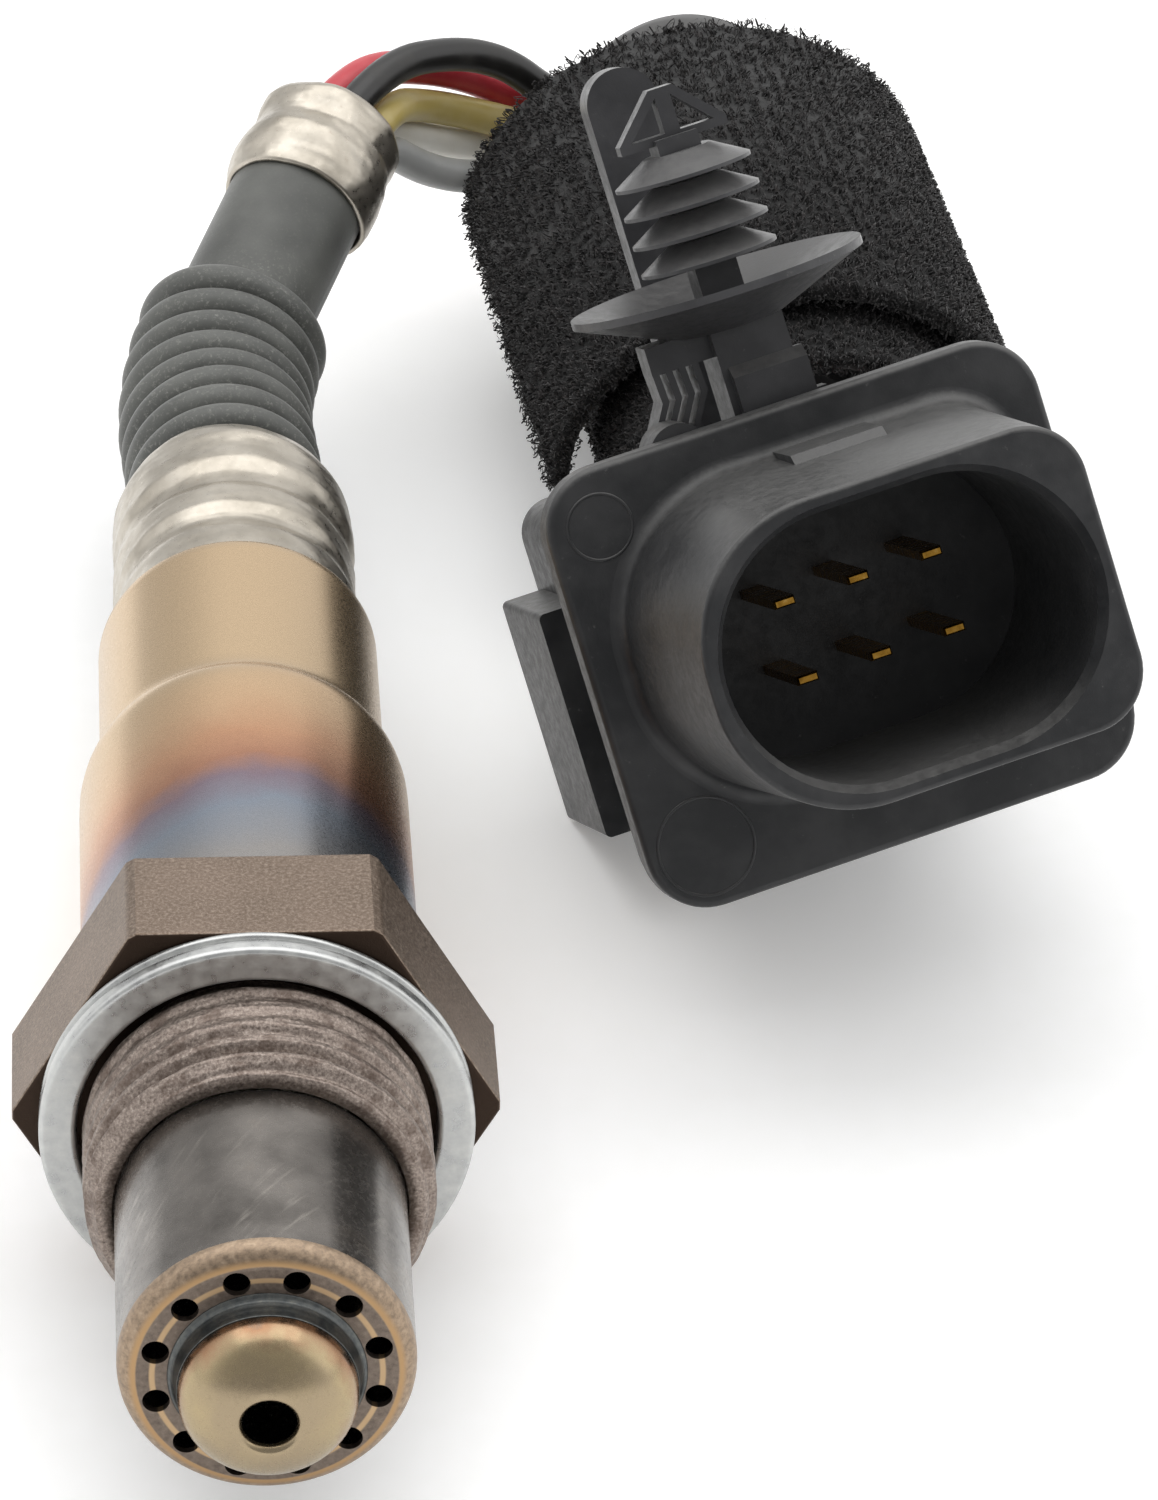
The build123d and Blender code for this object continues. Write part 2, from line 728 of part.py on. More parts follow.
def connector_housing():
    solid = flange_and_shroud() + latch_ramp()
    rear = RectangleRounded(rear_width, rear_height, rear_corner)
    rear_middle = shroud_rise - rear_drop
    solid += Pos(0, rear_middle, -rear_end) * extrude(rear, rear_end - flange_plate)
    solid += side_rail()
    solid += boss()
    opening_width = shroud_width - 2 * shroud_wall
    opening_height = shroud_height - 2 * shroud_wall
    mouth = Pos(0, shroud_rise) * SlotOverall(opening_width, opening_height)
    solid -= Pos(0, 0, -floor_depth) * extrude(mouth, shroud_depth + floor_depth)
    wide = Pos(0, shroud_rise, shroud_depth) * SlotOverall(
        opening_width + 2 * shroud_mouth_chamfer, opening_height + 2 * shroud_mouth_chamfer)
    solid -= extrude(wide, -2 * shroud_mouth_chamfer, taper=math.degrees(math.atan(0.5)))
    cavity = RectangleRounded(rear_width - 2 * rear_wall, rear_height - 2 * rear_wall,
                              rear_corner - rear_wall / 2)
    cavity_depth = rear_end - floor_depth - floor_thickness
    solid -= Pos(0, rear_middle, -rear_end) * extrude(cavity, cavity_depth)
    for x, y in pin_places():
        solid -= block(x - pin_width / 2, x + pin_width / 2, y - pin_thickness / 2, y + pin_thickness / 2,
                       -floor_depth - floor_thickness - 1, 1)
    return in_connector(solid)


def boss():
    """The half-round boss on the top edge behind the flange."""
    cylinder = Cylinder(boss_radius, boss_length)
    place = Pos(boss_place, flange_height / 2 - 1.1, -flange_plate - boss_length / 2)
    roof = shroud_rise - rear_drop + rear_height / 2
    foot = block(boss_place - boss_radius, boss_place + boss_radius, roof - 1.0, flange_height / 2 - 1.1,
                 -flange_plate - boss_length, -flange_plate)
    return place * cylinder + foot


def connector_rear_cover():
    plate = RectangleRounded(rear_width, rear_height, rear_corner)
    solid = Pos(0, shroud_rise - rear_drop, -rear_end - cover_thickness) * extrude(plate, cover_thickness)
    for x, y in pin_places():
        solid -= Pos(x, y, -rear_end) * Cylinder(wire_radius + wire_hole_clearance, 3 * cover_thickness)
    return in_connector(solid)


def wire_seals():
    """One seal round each wire, and a blank in the place without one."""
    seals = []
    used = [grid_place(*slot) for slot in grid_slots.values()]
    middle = -rear_end + seal_length / 2
    for x, y in pin_places():
        seal = Pos(x, y, middle) * Cylinder(seal_radius, seal_length - 2 * seal_clearance)
        if (x, y) in used:
            seal -= Pos(x, y, middle) * Cylinder(wire_radius + seal_clearance, 2 * seal_length)
        seals.append(in_connector(seal))
    return seals


def contact_pins():
    """Blades with tapered tips in the socket, each on a wider tail behind the floor."""
    pins = []
    tail_front = -floor_depth - floor_thickness
    for x, y in pin_places():
        blade = block(x - pin_width / 2, x + pin_width / 2, y - pin_thickness / 2, y + pin_thickness / 2,
                      tail_front - 0.5, pin_reach)
        tip = blade.faces().sort_by(Axis.Z)[-1].edges()
        blade = chamfer(tip, pin_thickness * 0.35, pin_thickness * 0.2)
        tail = block(x - terminal_width / 2, x + terminal_width / 2, y - pin_thickness, y + pin_thickness,
                     -terminal_rear, tail_front)
        pins.append(in_connector(blade + tail))
    return pins


def trim_resistor():
    x, y = grid_place(1, 1)
    rear = -rear_end + seal_length + 0.3
    return in_connector(Pos(x, y - pin_thickness - resistor_radius, rear + resistor_length) * Cylinder(
        resistor_radius, resistor_length))


# --- clip -------------------------------------------------------------------------------------
def on_stem(shape):
    """Move a shape made on +Z onto the stem's axis, which runs up the connector's y."""
    stem = Plane(origin=(clip_side, 0, -clip_setback), x_dir=(1, 0, 0), z_dir=(0, 1, 0))
    return stem.location * shape


def clip_disc():
    low = disc_height - disc_drop
    hub_top = low + disc_hub_thickness
    return on_stem(lathe_on_z([
        (0, low), (disc_hub_radius, low), (disc_radius, disc_height - disc_thickness),
        (disc_radius, disc_height), (disc_hub_radius, hub_top), (0, hub_top)]))


def clip_fins():
    solid = None
    for i in range(fin_count):
        low = fin_lowest + fin_pitch * i
        fin = on_stem(lathe_on_z([
            (0, low), (fin_radius, low), (fin_radius, low + 0.2), (fin_root_radius, low + fin_height),
            (0, low + fin_height)]))
        solid = fin if solid is None else solid + fin
    return solid


def clip_barb():
    """The flat arrowhead with its two windows."""
    outline = [(-barb_half_width, barb_base), (barb_half_width, barb_base),
               (barb_half_width, barb_base + 0.5), (barb_tip_half_width, barb_top),
               (-barb_tip_half_width, barb_top), (-barb_half_width, barb_base + 0.5)]
    plate = make_face(Polyline(*outline, close=True))
    for side in (-1, 1):
        window = [(side * barb_post / 2, barb_base + barb_bar),
                  (side * (barb_half_width - barb_lean), barb_base + barb_bar),
                  (side * barb_post / 2, barb_top - barb_bar)]
        plate -= make_face(Polyline(*window, close=True))
    return Pos(clip_side, 0, -clip_setback - barb_depth / 2) * extrude(plate, barb_depth)


def clip_finger(left, top):
    """One zig-zag spring finger of the comb."""
    half = comb_finger_width / 2
    drop = (top - comb_finger_end) / 4
    middle = [(0, top), (0.1, top - 1.6 * drop), (-comb_kink, top - 3 * drop),
              (-comb_kink + 0.3, comb_finger_end)]
    outline = [(left + x - half, y) for x, y in middle]
    outline += [(left + x + half, y) for x, y in reversed(middle)]
    plate = make_face(Polyline(*outline, close=True))
    return Pos(0, 0, -clip_setback - comb_depth / 2) * extrude(plate, comb_depth)


def clip_tongue():
    """The round-ended tongue that stands behind the stem."""
    half = tongue_width / 2
    foot = shroud_rise - rear_drop + rear_height / 2
    outline = Polyline((-half, foot), (half, foot), (half, tongue_top - half))
    outline += Line((-half, tongue_top - half), (-half, foot))
    outline += ThreePointArc((half, tongue_top - half), (0, tongue_top), (-half, tongue_top - half))
    plate = extrude(make_face(outline), tongue_thickness)
    return Pos(tongue_side, 0, -tongue_setback - tongue_thickness / 2) * plate


def clip_wedge(neck_front):
    """The locking wedge low on the neck's front."""
    outline = Polyline(
        (neck_front - 0.5, wedge_low), (neck_front + wedge_slope, wedge_low),
        (neck_front + wedge_slope, wedge_high - 0.6), (neck_front, wedge_high),
        (neck_front - 0.5, wedge_high), close=True)
    side = Plane(origin=(wedge_left, 0, 0), x_dir=(0, 0, 1), z_dir=(-1, 0, 0))
    return extrude(make_face(side * outline), wedge_right - wedge_left, dir=(1, 0, 0))


def clip_comb():
    """A bar beside the neck with a row of zig-zag spring fingers."""
    bar = block(comb_left, clip_neck_left + 0.2, comb_top - comb_bar, comb_top,
                -clip_setback - comb_depth / 2, -clip_setback + comb_depth / 2)
    for i in range(comb_fingers):
        left = comb_left + comb_finger_width / 2 + i * (comb_right - comb_left) / comb_fingers
        bar += clip_finger(left, comb_top - comb_bar + 0.2)
    return bar


def fir_tree_clip():
    """Foot, neck, comb, dish, finned stem, arrowhead and tongue, moulded in one."""
    roof = shroud_rise - rear_drop + rear_height / 2
    half_foot = clip_foot_width / 2
    foot_top = roof + clip_foot_height
    low_disc = disc_height - disc_drop
    neck_front = -clip_setback + clip_neck_depth / 2
    neck_rear = -clip_setback - clip_neck_depth / 2
    solid = block(-half_foot, half_foot, roof, foot_top, -clip_foot_rear, -clip_foot_front)
    solid += block(clip_neck_left, clip_neck_right, roof, low_disc + 0.3, neck_rear, neck_front)
    solid += clip_wedge(neck_front)
    solid += clip_comb()
    solid += block(clip_neck_right - 0.2, bracket_reach, foot_top - 0.5, bracket_high,
                   -clip_setback - 0.6, -clip_setback + 0.6)
    solid += block(clip_neck_right - 0.5, bracket_reach, roof, foot_top, neck_rear, neck_front)
    solid += clip_disc()
    half_stem = stem_width / 2
    solid += block(clip_side - half_stem, clip_side + half_stem, low_disc, barb_base + 0.3,
                   -clip_setback - half_stem, -clip_setback + half_stem)
    solid += clip_fins()
    solid += clip_barb()
    solid += clip_tongue()
    return in_connector(solid)


# --- nodes ------------------------------------------------------------------------------------
nodes = {
    "sensor_body": sensor_body(),
    "sealing_washer": sealing_washer(),
    "outer_protection_tube": outer_protection_tube(),
    "inner_protection_tube": inner_protection_tube(),
    "sensor_element": sensor_element(),
    "lower_ceramic_bush": packing(seat_lip_rear, talc_front),
    "talc_seal": packing(talc_front, upper_bush_front),
    "upper_ceramic_bush": packing(upper_bush_front, upper_bush_front + upper_bush_length),
    "protective_sleeve": protective_sleeve(),
    "contact_holder": contact_holder(),
    "contact_springs": contact_springs(),
    "seal_grommet": seal_grommet(),
    "crimp_collar": crimp_collar(),
    "bellows_hose": bellows_hose(),
    "hose_ferrule": hose_ferrule(),
    "ferrule_plug": ferrule_plug(),
    "harness_sheath": harness_sheath(),
    "harness_wrap": harness_wrap(),
    "connector_housing": connector_housing(),
    "connector_rear_cover": connector_rear_cover(),
    "wire_seals": wire_seals(),
    "contact_pins": contact_pins(),
    "trim_resistor": trim_resistor(),
    "fir_tree_clip": fir_tree_clip(),
}
for colour in wire_colours:
    nodes["wire_" + colour] = wire(colour)

os.makedirs("parts", exist_ok=True)
for name, shape in nodes.items():
    export_step(Compound(children=shape) if isinstance(shape, list) else shape, f"parts/{name}.step")
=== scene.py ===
import math
import random

import bpy
from mathutils import Matrix, Vector, noise


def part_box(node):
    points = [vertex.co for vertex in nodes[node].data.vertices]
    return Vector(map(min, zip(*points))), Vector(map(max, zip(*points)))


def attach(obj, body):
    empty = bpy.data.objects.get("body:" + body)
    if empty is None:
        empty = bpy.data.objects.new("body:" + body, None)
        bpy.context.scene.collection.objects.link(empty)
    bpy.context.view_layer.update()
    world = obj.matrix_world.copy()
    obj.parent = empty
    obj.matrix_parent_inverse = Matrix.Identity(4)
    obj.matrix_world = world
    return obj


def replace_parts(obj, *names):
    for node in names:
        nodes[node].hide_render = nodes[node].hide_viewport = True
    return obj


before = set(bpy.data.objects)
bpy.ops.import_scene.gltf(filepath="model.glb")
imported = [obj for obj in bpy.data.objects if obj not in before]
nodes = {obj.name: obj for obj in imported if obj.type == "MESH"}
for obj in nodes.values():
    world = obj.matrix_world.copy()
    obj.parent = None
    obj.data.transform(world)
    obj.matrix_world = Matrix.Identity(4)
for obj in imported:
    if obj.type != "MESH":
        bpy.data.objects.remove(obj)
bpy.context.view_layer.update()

# An oxygen sensor on its short lead. The scene is in metres, and named sizes and places are in
# millimetres. The sensor's axis is +Y, from the gas end to the cable end, +Z is up, and the origin
# is where the sealing washer meets the hexagon.
MM = 0.001
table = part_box("sealing_washer")[0][2]


# --- shading: a small helper around one material's node tree ------------------------------------
def colour(hex_code):
    """Linear colour from a hex code as a screen shows it."""
    channels = [int(hex_code[i:i + 2], 16) / 255 for i in (0, 2, 4)]
    linear = [c / 12.92 if c <= 0.04045 else ((c + 0.055) / 1.055) ** 2.4 for c in channels]
    return (*linear, 1)


def add_node(tree, kind, links=None, **settings):
    """A node with its settings and its inputs, each input a value or another node's socket."""
    made = tree.nodes.new(kind)
    for key, value in settings.items():
        setattr(made, key, value)
    for socket, value in (links or {}).items():
        if isinstance(value, bpy.types.NodeSocket):
            tree.links.new(value, made.inputs[socket])
        else:
            made.inputs[socket].default_value = value
    return made


class Finish:
    """A Principled material whose sockets are fed by procedural nodes."""

    def __init__(self, name, base, roughness, metallic=0.0, **sockets):
        self.material = bpy.data.materials.new(name)
        self.material.use_nodes = True
        self.tree = self.material.node_tree
        self.shader = self.tree.nodes["Principled BSDF"]
        self.shader.inputs["Base Color"].default_value = colour(base)
        self.shader.inputs["Roughness"].default_value = roughness
        self.shader.inputs["Metallic"].default_value = metallic
        for socket, value in sockets.items():
            self.shader.inputs[socket.replace("_", " ")].default_value = value
        self.place = self.node("ShaderNodeTexCoord").outputs["Object"]
        self.normal = None

    def node(self, kind, links=None, **settings):
        return add_node(self.tree, kind, links, **settings)

    def feed(self, socket, value):
        self.tree.links.new(value, self.shader.inputs[socket])

    def stretched(self, x=1.0, y=1.0, z=1.0, turn=0.0):
        """The surface's place, turned about Z by so many radians and then scaled."""
        turned = self.node("ShaderNodeMapping", {"Vector": self.place, "Rotation": (0, 0, turn)}).outputs[0]
        return self.node("ShaderNodeMapping", {"Vector": turned, "Scale": (x, y, z)}).outputs[0]

    def grain(self, per_mm, detail=4.0, roughness=0.5, distortion=0.0, where=None):
        """Noise with about so many features a millimetre."""
        links = {"Vector": where or self.place, "Scale": per_mm * 1000, "Detail": detail,
                 "Roughness": roughness, "Distortion": distortion}
        return self.node("ShaderNodeTexNoise", links).outputs["Fac"]

    def cells(self, per_mm, where=None, feature="F1"):
        links = {"Vector": where or self.place, "Scale": per_mm * 1000}
        return self.node("ShaderNodeTexVoronoi", links, feature=feature).outputs["Distance"]

    def maths(self, operation, a, b=0.0, clamp=False):
        return self.node("ShaderNodeMath", {0: a, 1: b}, operation=operation, use_clamp=clamp).outputs[0]

    def spread(self, value, low, high, to_low=0.0, to_high=1.0):
        links = {"Value": value, "From Min": low, "From Max": high, "To Min": to_low, "To Max": to_high}
        return self.node("ShaderNodeMapRange", links, interpolation_type="SMOOTHSTEP").outputs[0]

    def blend(self, share, low, high, kind="MIX"):
        """Mix two colours; each is a hex code or a socket."""
        made = self.node("ShaderNodeMix", {0: share}, data_type="RGBA", blend_type=kind)
        for index, value in ((6, low), (7, high)):
            if isinstance(value, str):
                made.inputs[index].default_value = colour(value)
            else:
                self.tree.links.new(value, made.inputs[index])
        return made.outputs[2]

    def ramp(self, value, *stops):
        made = self.node("ShaderNodeValToRGB", {"Fac": value})
        elements = made.color_ramp.elements
        while len(elements) < len(stops):
            elements.new(0.5)
        for element, (place, code) in zip(elements, stops):
            element.position = place
            element.color = colour(code)
        return made.outputs["Color"]

    def axis(self, letter):
        return self.node("ShaderNodeSeparateXYZ", {0: self.place}).outputs[letter]

    def bump(self, height, distance_mm, strength=1.0):
        links = {"Height": height, "Distance": distance_mm * MM, "Strength": strength}
        if self.normal is not None:
            links["Normal"] = self.normal
        self.normal = self.node("ShaderNodeBump", links).outputs["Normal"]
        self.feed("Normal", self.normal)


def smoothstep(low, high, value):
    share = min(1.0, max(0.0, (value - low) / (high - low)))
    return share * share * (3 - 2 * share)


# --- meshes ---------------------------------------------------------------------------------------
def place_piece(name, data, finish):
    """Put a mesh or a curve in the scene with its finish, on the part's only body."""
    data.materials.append(finish.material)
    piece = bpy.data.objects.new(name, data)
    bpy.context.scene.collection.objects.link(piece)
    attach(piece, "root")
    return piece


def add_mesh(name, points, faces, finish, smooth=True):
    mesh = bpy.data.meshes.new(name)
    mesh.from_pydata([tuple(p) for p in points], [], faces)
    mesh.update()
    if smooth:
        mesh.polygons.foreach_set("use_smooth", [True] * len(mesh.polygons))
    return place_piece(name, mesh, finish)


def grid_faces(rows, columns, wrap_columns=False, wrap_rows=False, start=0):
    """Quads over a grid of points stored row by row."""
    faces = []
    for i in range(rows if wrap_rows else rows - 1):
        for j in range(columns if wrap_columns else columns - 1):
            a, b = i, (i + 1) % rows
            c, d = j, (j + 1) % columns
            faces.append([start + a * columns + c, start + a * columns + d,
                          start + b * columns + d, start + b * columns + c])
    return faces


def lathe(name, profile, seat, finish, steps=192, dent=None):
    """A closed shell of revolution on the seat's +Z; dent moves a point out by so many mm."""
    points = []
    for radius, along in profile:
        for j in range(steps):
            angle = 2 * math.pi * j / steps
            out = dent(radius, along, angle) if dent else 0.0
            local = Vector(((radius + out) * math.cos(angle), (radius + out) * math.sin(angle), along))
            points.append(seat @ (local * MM))
    faces = grid_faces(len(profile), steps, wrap_columns=True, wrap_rows=True)
    return add_mesh(name, points, faces, finish)


def divided(profile, step):
    """The profile with points no further apart than the step."""
    fine = []
    for (r0, a0), (r1, a1) in zip(profile, profile[1:]):
        parts = max(1, math.ceil(math.hypot(r1 - r0, a1 - a0) / step))
        fine += [(r0 + (r1 - r0) * i / parts, a0 + (a1 - a0) * i / parts) for i in range(parts)]
    return fine + [profile[-1]]


def seat_on(place, direction):
    """Matrix whose +Z is the direction and whose origin is the place, both from millimetres."""
    z = Vector(direction).normalized()
    x = Vector((0, 0, 1)).cross(z).normalized()
    y = z.cross(x)
    turn = Matrix((x, y, z)).transposed().to_4x4()
    return Matrix.Translation(Vector(place) * MM) @ turn


sensor_axis = seat_on((0, 0, 0), (0, 1, 0))


# --- finishes ---------------------------------------------------------------------------------------
def hexagon_finish():
    steel = Finish("hexagon_steel", "6a5a4e", 0.42, metallic=0.8)
    sand = steel.grain(5.0, detail=4, roughness=0.85)
    blotch = steel.grain(0.2, detail=3)
    tone = steel.ramp(blotch, (0.3, "67584b"), (0.7, "78675a"))
    tone = steel.blend(steel.spread(sand, 0.42, 0.68, 0.0, 0.8), tone, "a49587")
    tone = steel.blend(steel.spread(sand, 0.3, 0.42, 0.6, 0.0), tone, "3a2f27")
    # painted shade: the hexagon's front face beside the washer is coloured dark brown where shade falls
    painted_front_shade = steel.maths("LESS_THAN", steel.axis("Y"), 0.05 * MM)
    steel.feed("Base Color", steel.blend(painted_front_shade, tone, "35281f"))
    steel.feed("Roughness", steel.spread(sand, 0.3, 0.7, 0.36, 0.5))
    steel.bump(sand, 0.04, 0.7)
    return steel


def thread_finish():
    steel = Finish("thread_steel", "8c7f78", 0.45, metallic=0.8)
    scale = steel.cells(2.6, where=steel.stretched(1, 0.6, 1))
    grit = steel.grain(6.0, detail=6, roughness=0.7)
    tone = steel.ramp(grit, (0.3, "584c45"), (0.55, "9a8d84"), (0.75, "cbc0b6"))
    tone = steel.blend(steel.spread(scale, 0.0, 0.35, 0.4, 0.0), tone, "463a35")
    stain = steel.grain(0.6, detail=5, roughness=0.7)
    steel.feed("Base Color", steel.blend(steel.spread(stain, 0.48, 0.62, 0.0, 0.55), tone, "56463d"))
    steel.feed("Roughness", steel.spread(grit, 0.3, 0.7, 0.35, 0.6))
    steel.bump(scale, 0.05, 0.6)
    steel.bump(grit, 0.03, 0.5)
    return steel


def washer_finish():
    zinc = Finish("washer_zinc", "b4ada1", 0.3, metallic=0.85)
    rub = zinc.grain(1.2, detail=5, roughness=0.6)
    zinc.feed("Base Color", zinc.ramp(rub, (0.3, "b0b1b1"), (0.6, "c5c6c4"), (0.8, "d4d4d1")))
    zinc.feed("Roughness", zinc.spread(rub, 0.3, 0.7, 0.25, 0.42))
    zinc.bump(zinc.grain(3.0, detail=3), 0.003, 0.2)
    return zinc


inlet_circle = 5.67            # radius of the ring of holes in the outer tube's end
groove_edges = 0.08, 0.2       # half widths of the polished groove: bright, and faded out
rim_start = 6.42, 6.55         # radii where the flat end gives way to its rim
bright_edge = 6.6, 6.95        # radii over which the rim's bright inner edge fades out
tube_end = -21.4               # in front of this the tube is coloured as its end


def tube_finish():
    """Dark drawn steel; its closed end is brown, with a polished groove through the ring of holes."""
    steel = Finish("outer_tube_steel", "6d6762", 0.34, metallic=0.92)
    cloud = steel.grain(0.28, detail=3)
    scratch = steel.grain(1.6, detail=5, roughness=0.6, where=steel.stretched(0.1, 1.0, 0.35, turn=-0.98))
    side = steel.ramp(cloud, (0.3, "5f5b57"), (0.6, "807b76"), (0.8, "8a8279"))
    side = steel.blend(steel.spread(scratch, 0.55, 0.75, 0.0, 0.5), side, "aba59d")
    x, z = steel.axis("X"), steel.axis("Z")
    square = steel.maths("ADD", steel.maths("MULTIPLY", x, x), steel.maths("MULTIPLY", z, z))
    radius = steel.maths("SQRT", square)
    front = steel.maths("LESS_THAN", steel.axis("Y"), tube_end * MM)
    speck = steel.grain(3.0, detail=5, roughness=0.7)
    face = steel.ramp(speck, (0.25, "5a5049"), (0.6, "7c7066"), (0.8, "94877a"))
    off_circle = steel.maths("ABSOLUTE", steel.maths("SUBTRACT", radius, inlet_circle * MM))
    groove = steel.spread(off_circle, groove_edges[0] * MM, groove_edges[1] * MM, 1.0, 0.0)
    face = steel.blend(groove, face, "b79c7a")
    rim = steel.spread(radius, rim_start[0] * MM, rim_start[1] * MM)
    rim_tone = steel.ramp(speck, (0.35, "837363"), (0.55, "a18d78"), (0.75, "b8a590"))
    edge = steel.spread(radius, bright_edge[0] * MM, bright_edge[1] * MM, 1.0, 0.0)
    face = steel.blend(rim, face, rim_tone)
    face = steel.blend(steel.maths("MULTIPLY", edge, rim), face, "ae8e68")
    steel.feed("Base Color", steel.blend(front, side, face))
    matt = steel.maths("MULTIPLY", front, 0.2)
    steel.feed("Roughness", steel.maths("ADD", steel.spread(speck, 0.3, 0.7, 0.2, 0.3), matt))
    steel.bump(scratch, 0.004, 0.2)
    return steel


dome_tones = -27.1, -23.4      # where the dome's run of colours starts and ends


def dome_finish():
    steel = Finish("inner_tube_steel", "a08a68", 0.2, metallic=0.95)
    stain = steel.grain(0.45, detail=4, roughness=0.6)
    waver = steel.spread(stain, 0.2, 0.8, -0.6 * MM, 0.6 * MM)
    share = steel.spread(steel.maths("ADD", steel.axis("Y"), waver), dome_tones[0] * MM, dome_tones[1] * MM)
    tone = steel.ramp(share, (0.0, "9d8d74"), (0.35, "a99878"), (0.62, "a0866a"), (0.82, "98755a"),
                      (0.93, "75675b"), (1.0, "5e6060"))
    dust = steel.grain(4.0, detail=5, roughness=0.7)
    steel.feed("Base Color", steel.blend(steel.spread(dust, 0.62, 0.76, 0.0, 0.3), tone, "5b4a38"))
    steel.feed("Roughness", steel.spread(dust, 0.3, 0.7, 0.2, 0.3))
    steel.bump(dust, 0.006, 0.2)
    return steel


def neck_finish():
    """Heat-blued steel."""
    steel = Finish("neck_steel", "6d7070", 0.34, metallic=0.9)
    mottle = steel.grain(2.5, detail=5, roughness=0.7)
    steel.feed("Base Color", steel.ramp(mottle, (0.3, "494c4e"), (0.6, "636563"), (0.8, "807c72")))
    steel.bump(mottle, 0.008, 0.4)
    return steel


heat_middle = 2.5              # the heat mark's crown, to the right of the axis
heat_crown = 2.3               # how far back it reaches there
heat_bow = 0.034               # how fast it falls away to the sides, per mm
heat_start, heat_run = 9.4, 19.0  # where its colours begin, and the length over which they pass


def sleeve_finish():
    """Heat colours run from tan through orange and purple to blue beside the hexagon."""
    steel = Finish("sleeve_steel", "cdb08a", 0.22, metallic=0.95)
    waver = steel.grain(0.06, detail=2)
    fine = steel.grain(0.5, detail=3)
    aside = steel.maths("SUBTRACT", steel.axis("X"), heat_middle * MM)
    fall = steel.maths("MULTIPLY", steel.maths("MULTIPLY", aside, aside), -heat_bow / MM)
    heat = steel.maths("SUBTRACT", steel.axis("Y"), steel.maths("ADD", fall, heat_crown * MM))
    heat = steel.maths("ADD", heat, steel.spread(waver, 0.2, 0.8, -0.8 * MM, 0.8 * MM))
    heat = steel.maths("ADD", heat, steel.spread(fine, 0.2, 0.8, -0.4 * MM, 0.4 * MM))
    heat = steel.maths("SUBTRACT", heat, heat_start * MM)
    share = steel.maths("DIVIDE", heat, heat_run * MM, clamp=True)
    tone = steel.ramp(share, (0.0, "959290"), (0.26, "848c98"), (0.4, "84747f"), (0.5, "aa7c64"),
                      (0.62, "bf9272"), (0.8, "c8a886"), (1.0, "c7ae8d"))
    brushed = steel.grain(5.0, detail=4, where=steel.stretched(1, 0.04, 1))
    tone = steel.blend(steel.spread(brushed, 0.2, 0.8, 0.0, 0.03), tone, "a08c72")
    steel.feed("Base Color", tone)
    frost = steel.grain(6.0, detail=4)
    steel.feed("Roughness", steel.spread(frost, 0.3, 0.7, 0.25, 0.31))
    steel.bump(frost, 0.002, 0.12)
    return steel


def collar_finish(name):
    steel = Finish(name, "cfc8bb", 0.26, metallic=0.96)
    stain = steel.grain(0.35, detail=4, roughness=0.6)
    tone = steel.ramp(stain, (0.3, "a49d91"), (0.55, "bbb4a8"), (0.75, "c8c2b7"))
    pit = steel.grain(2.2, detail=5, roughness=0.7)
    steel.feed("Base Color", steel.blend(steel.spread(pit, 0.62, 0.74, 0.0, 0.3), tone, "8a6a52"))
    steel.feed("Roughness", steel.spread(pit, 0.3, 0.7, 0.26, 0.4))
    steel.bump(pit, 0.02, 0.35)
    return steel


ribs_end = 80, 83              # where the hose's dust falls to a quarter, past its ribs


def rubber_finish():
    rubber = Finish("hose_rubber", "4b4c4a", 0.5, Sheen_Weight=0.2, Sheen_Roughness=0.4)
    dust = rubber.grain(4.0, detail=5, roughness=0.75)
    chalk = rubber.grain(0.3, detail=4)
    tone = rubber.ramp(chalk, (0.3, "474845"), (0.7, "5c5d59"))
    ribbed = rubber.spread(rubber.axis("Y"), ribs_end[0] * MM, ribs_end[1] * MM, 1.0, 0.25)
    dusty = rubber.maths("MULTIPLY", rubber.spread(dust, 0.5, 0.75, 0.0, 0.8), ribbed)
    rubber.feed("Base Color", rubber.blend(dusty, tone, "8e8e88"))
    rubber.feed("Roughness", rubber.spread(dust, 0.3, 0.7, 0.42, 0.6))
    rubber.bump(dust, 0.02, 0.5)
    return rubber


def plastic_finish(name, base, worn, roughness):
    """Moulded plastic with a fine grain, scuffs, and dust on what faces up."""
    plastic = Finish(name, base, roughness, Specular_IOR_Level=0.45, Sheen_Weight=0.03)
    grain = plastic.grain(7.0, detail=4, roughness=0.6)
    haze = plastic.grain(0.18, detail=4, roughness=0.6)
    scuff = plastic.grain(1.4, detail=6, roughness=0.75)
    tone = plastic.blend(plastic.spread(haze, 0.35, 0.7, 0.0, 0.7), base, worn)
    tone = plastic.blend(plastic.spread(scuff, 0.62, 0.78, 0.0, 0.6), tone, "6f6e6c")
    normal = plastic.node("ShaderNodeNewGeometry").outputs["Normal"]
    rise = plastic.node("ShaderNodeSeparateXYZ", {0: normal}).outputs["Z"]
    upward = plastic.spread(rise, 0.5, 0.95, 0.0, 0.8)
    settled = plastic.maths("MULTIPLY", upward, plastic.spread(scuff, 0.2, 0.7, 0.25, 0.6))
    plastic.feed("Base Color", plastic.blend(settled, tone, "737270"))
    plastic.feed("Roughness", plastic.spread(scuff, 0.3, 0.75, roughness - 0.08, roughness + 0.12))
    plastic.bump(grain, 0.012, 0.6)
    plastic.bump(scuff, 0.015, 0.35)
    return plastic


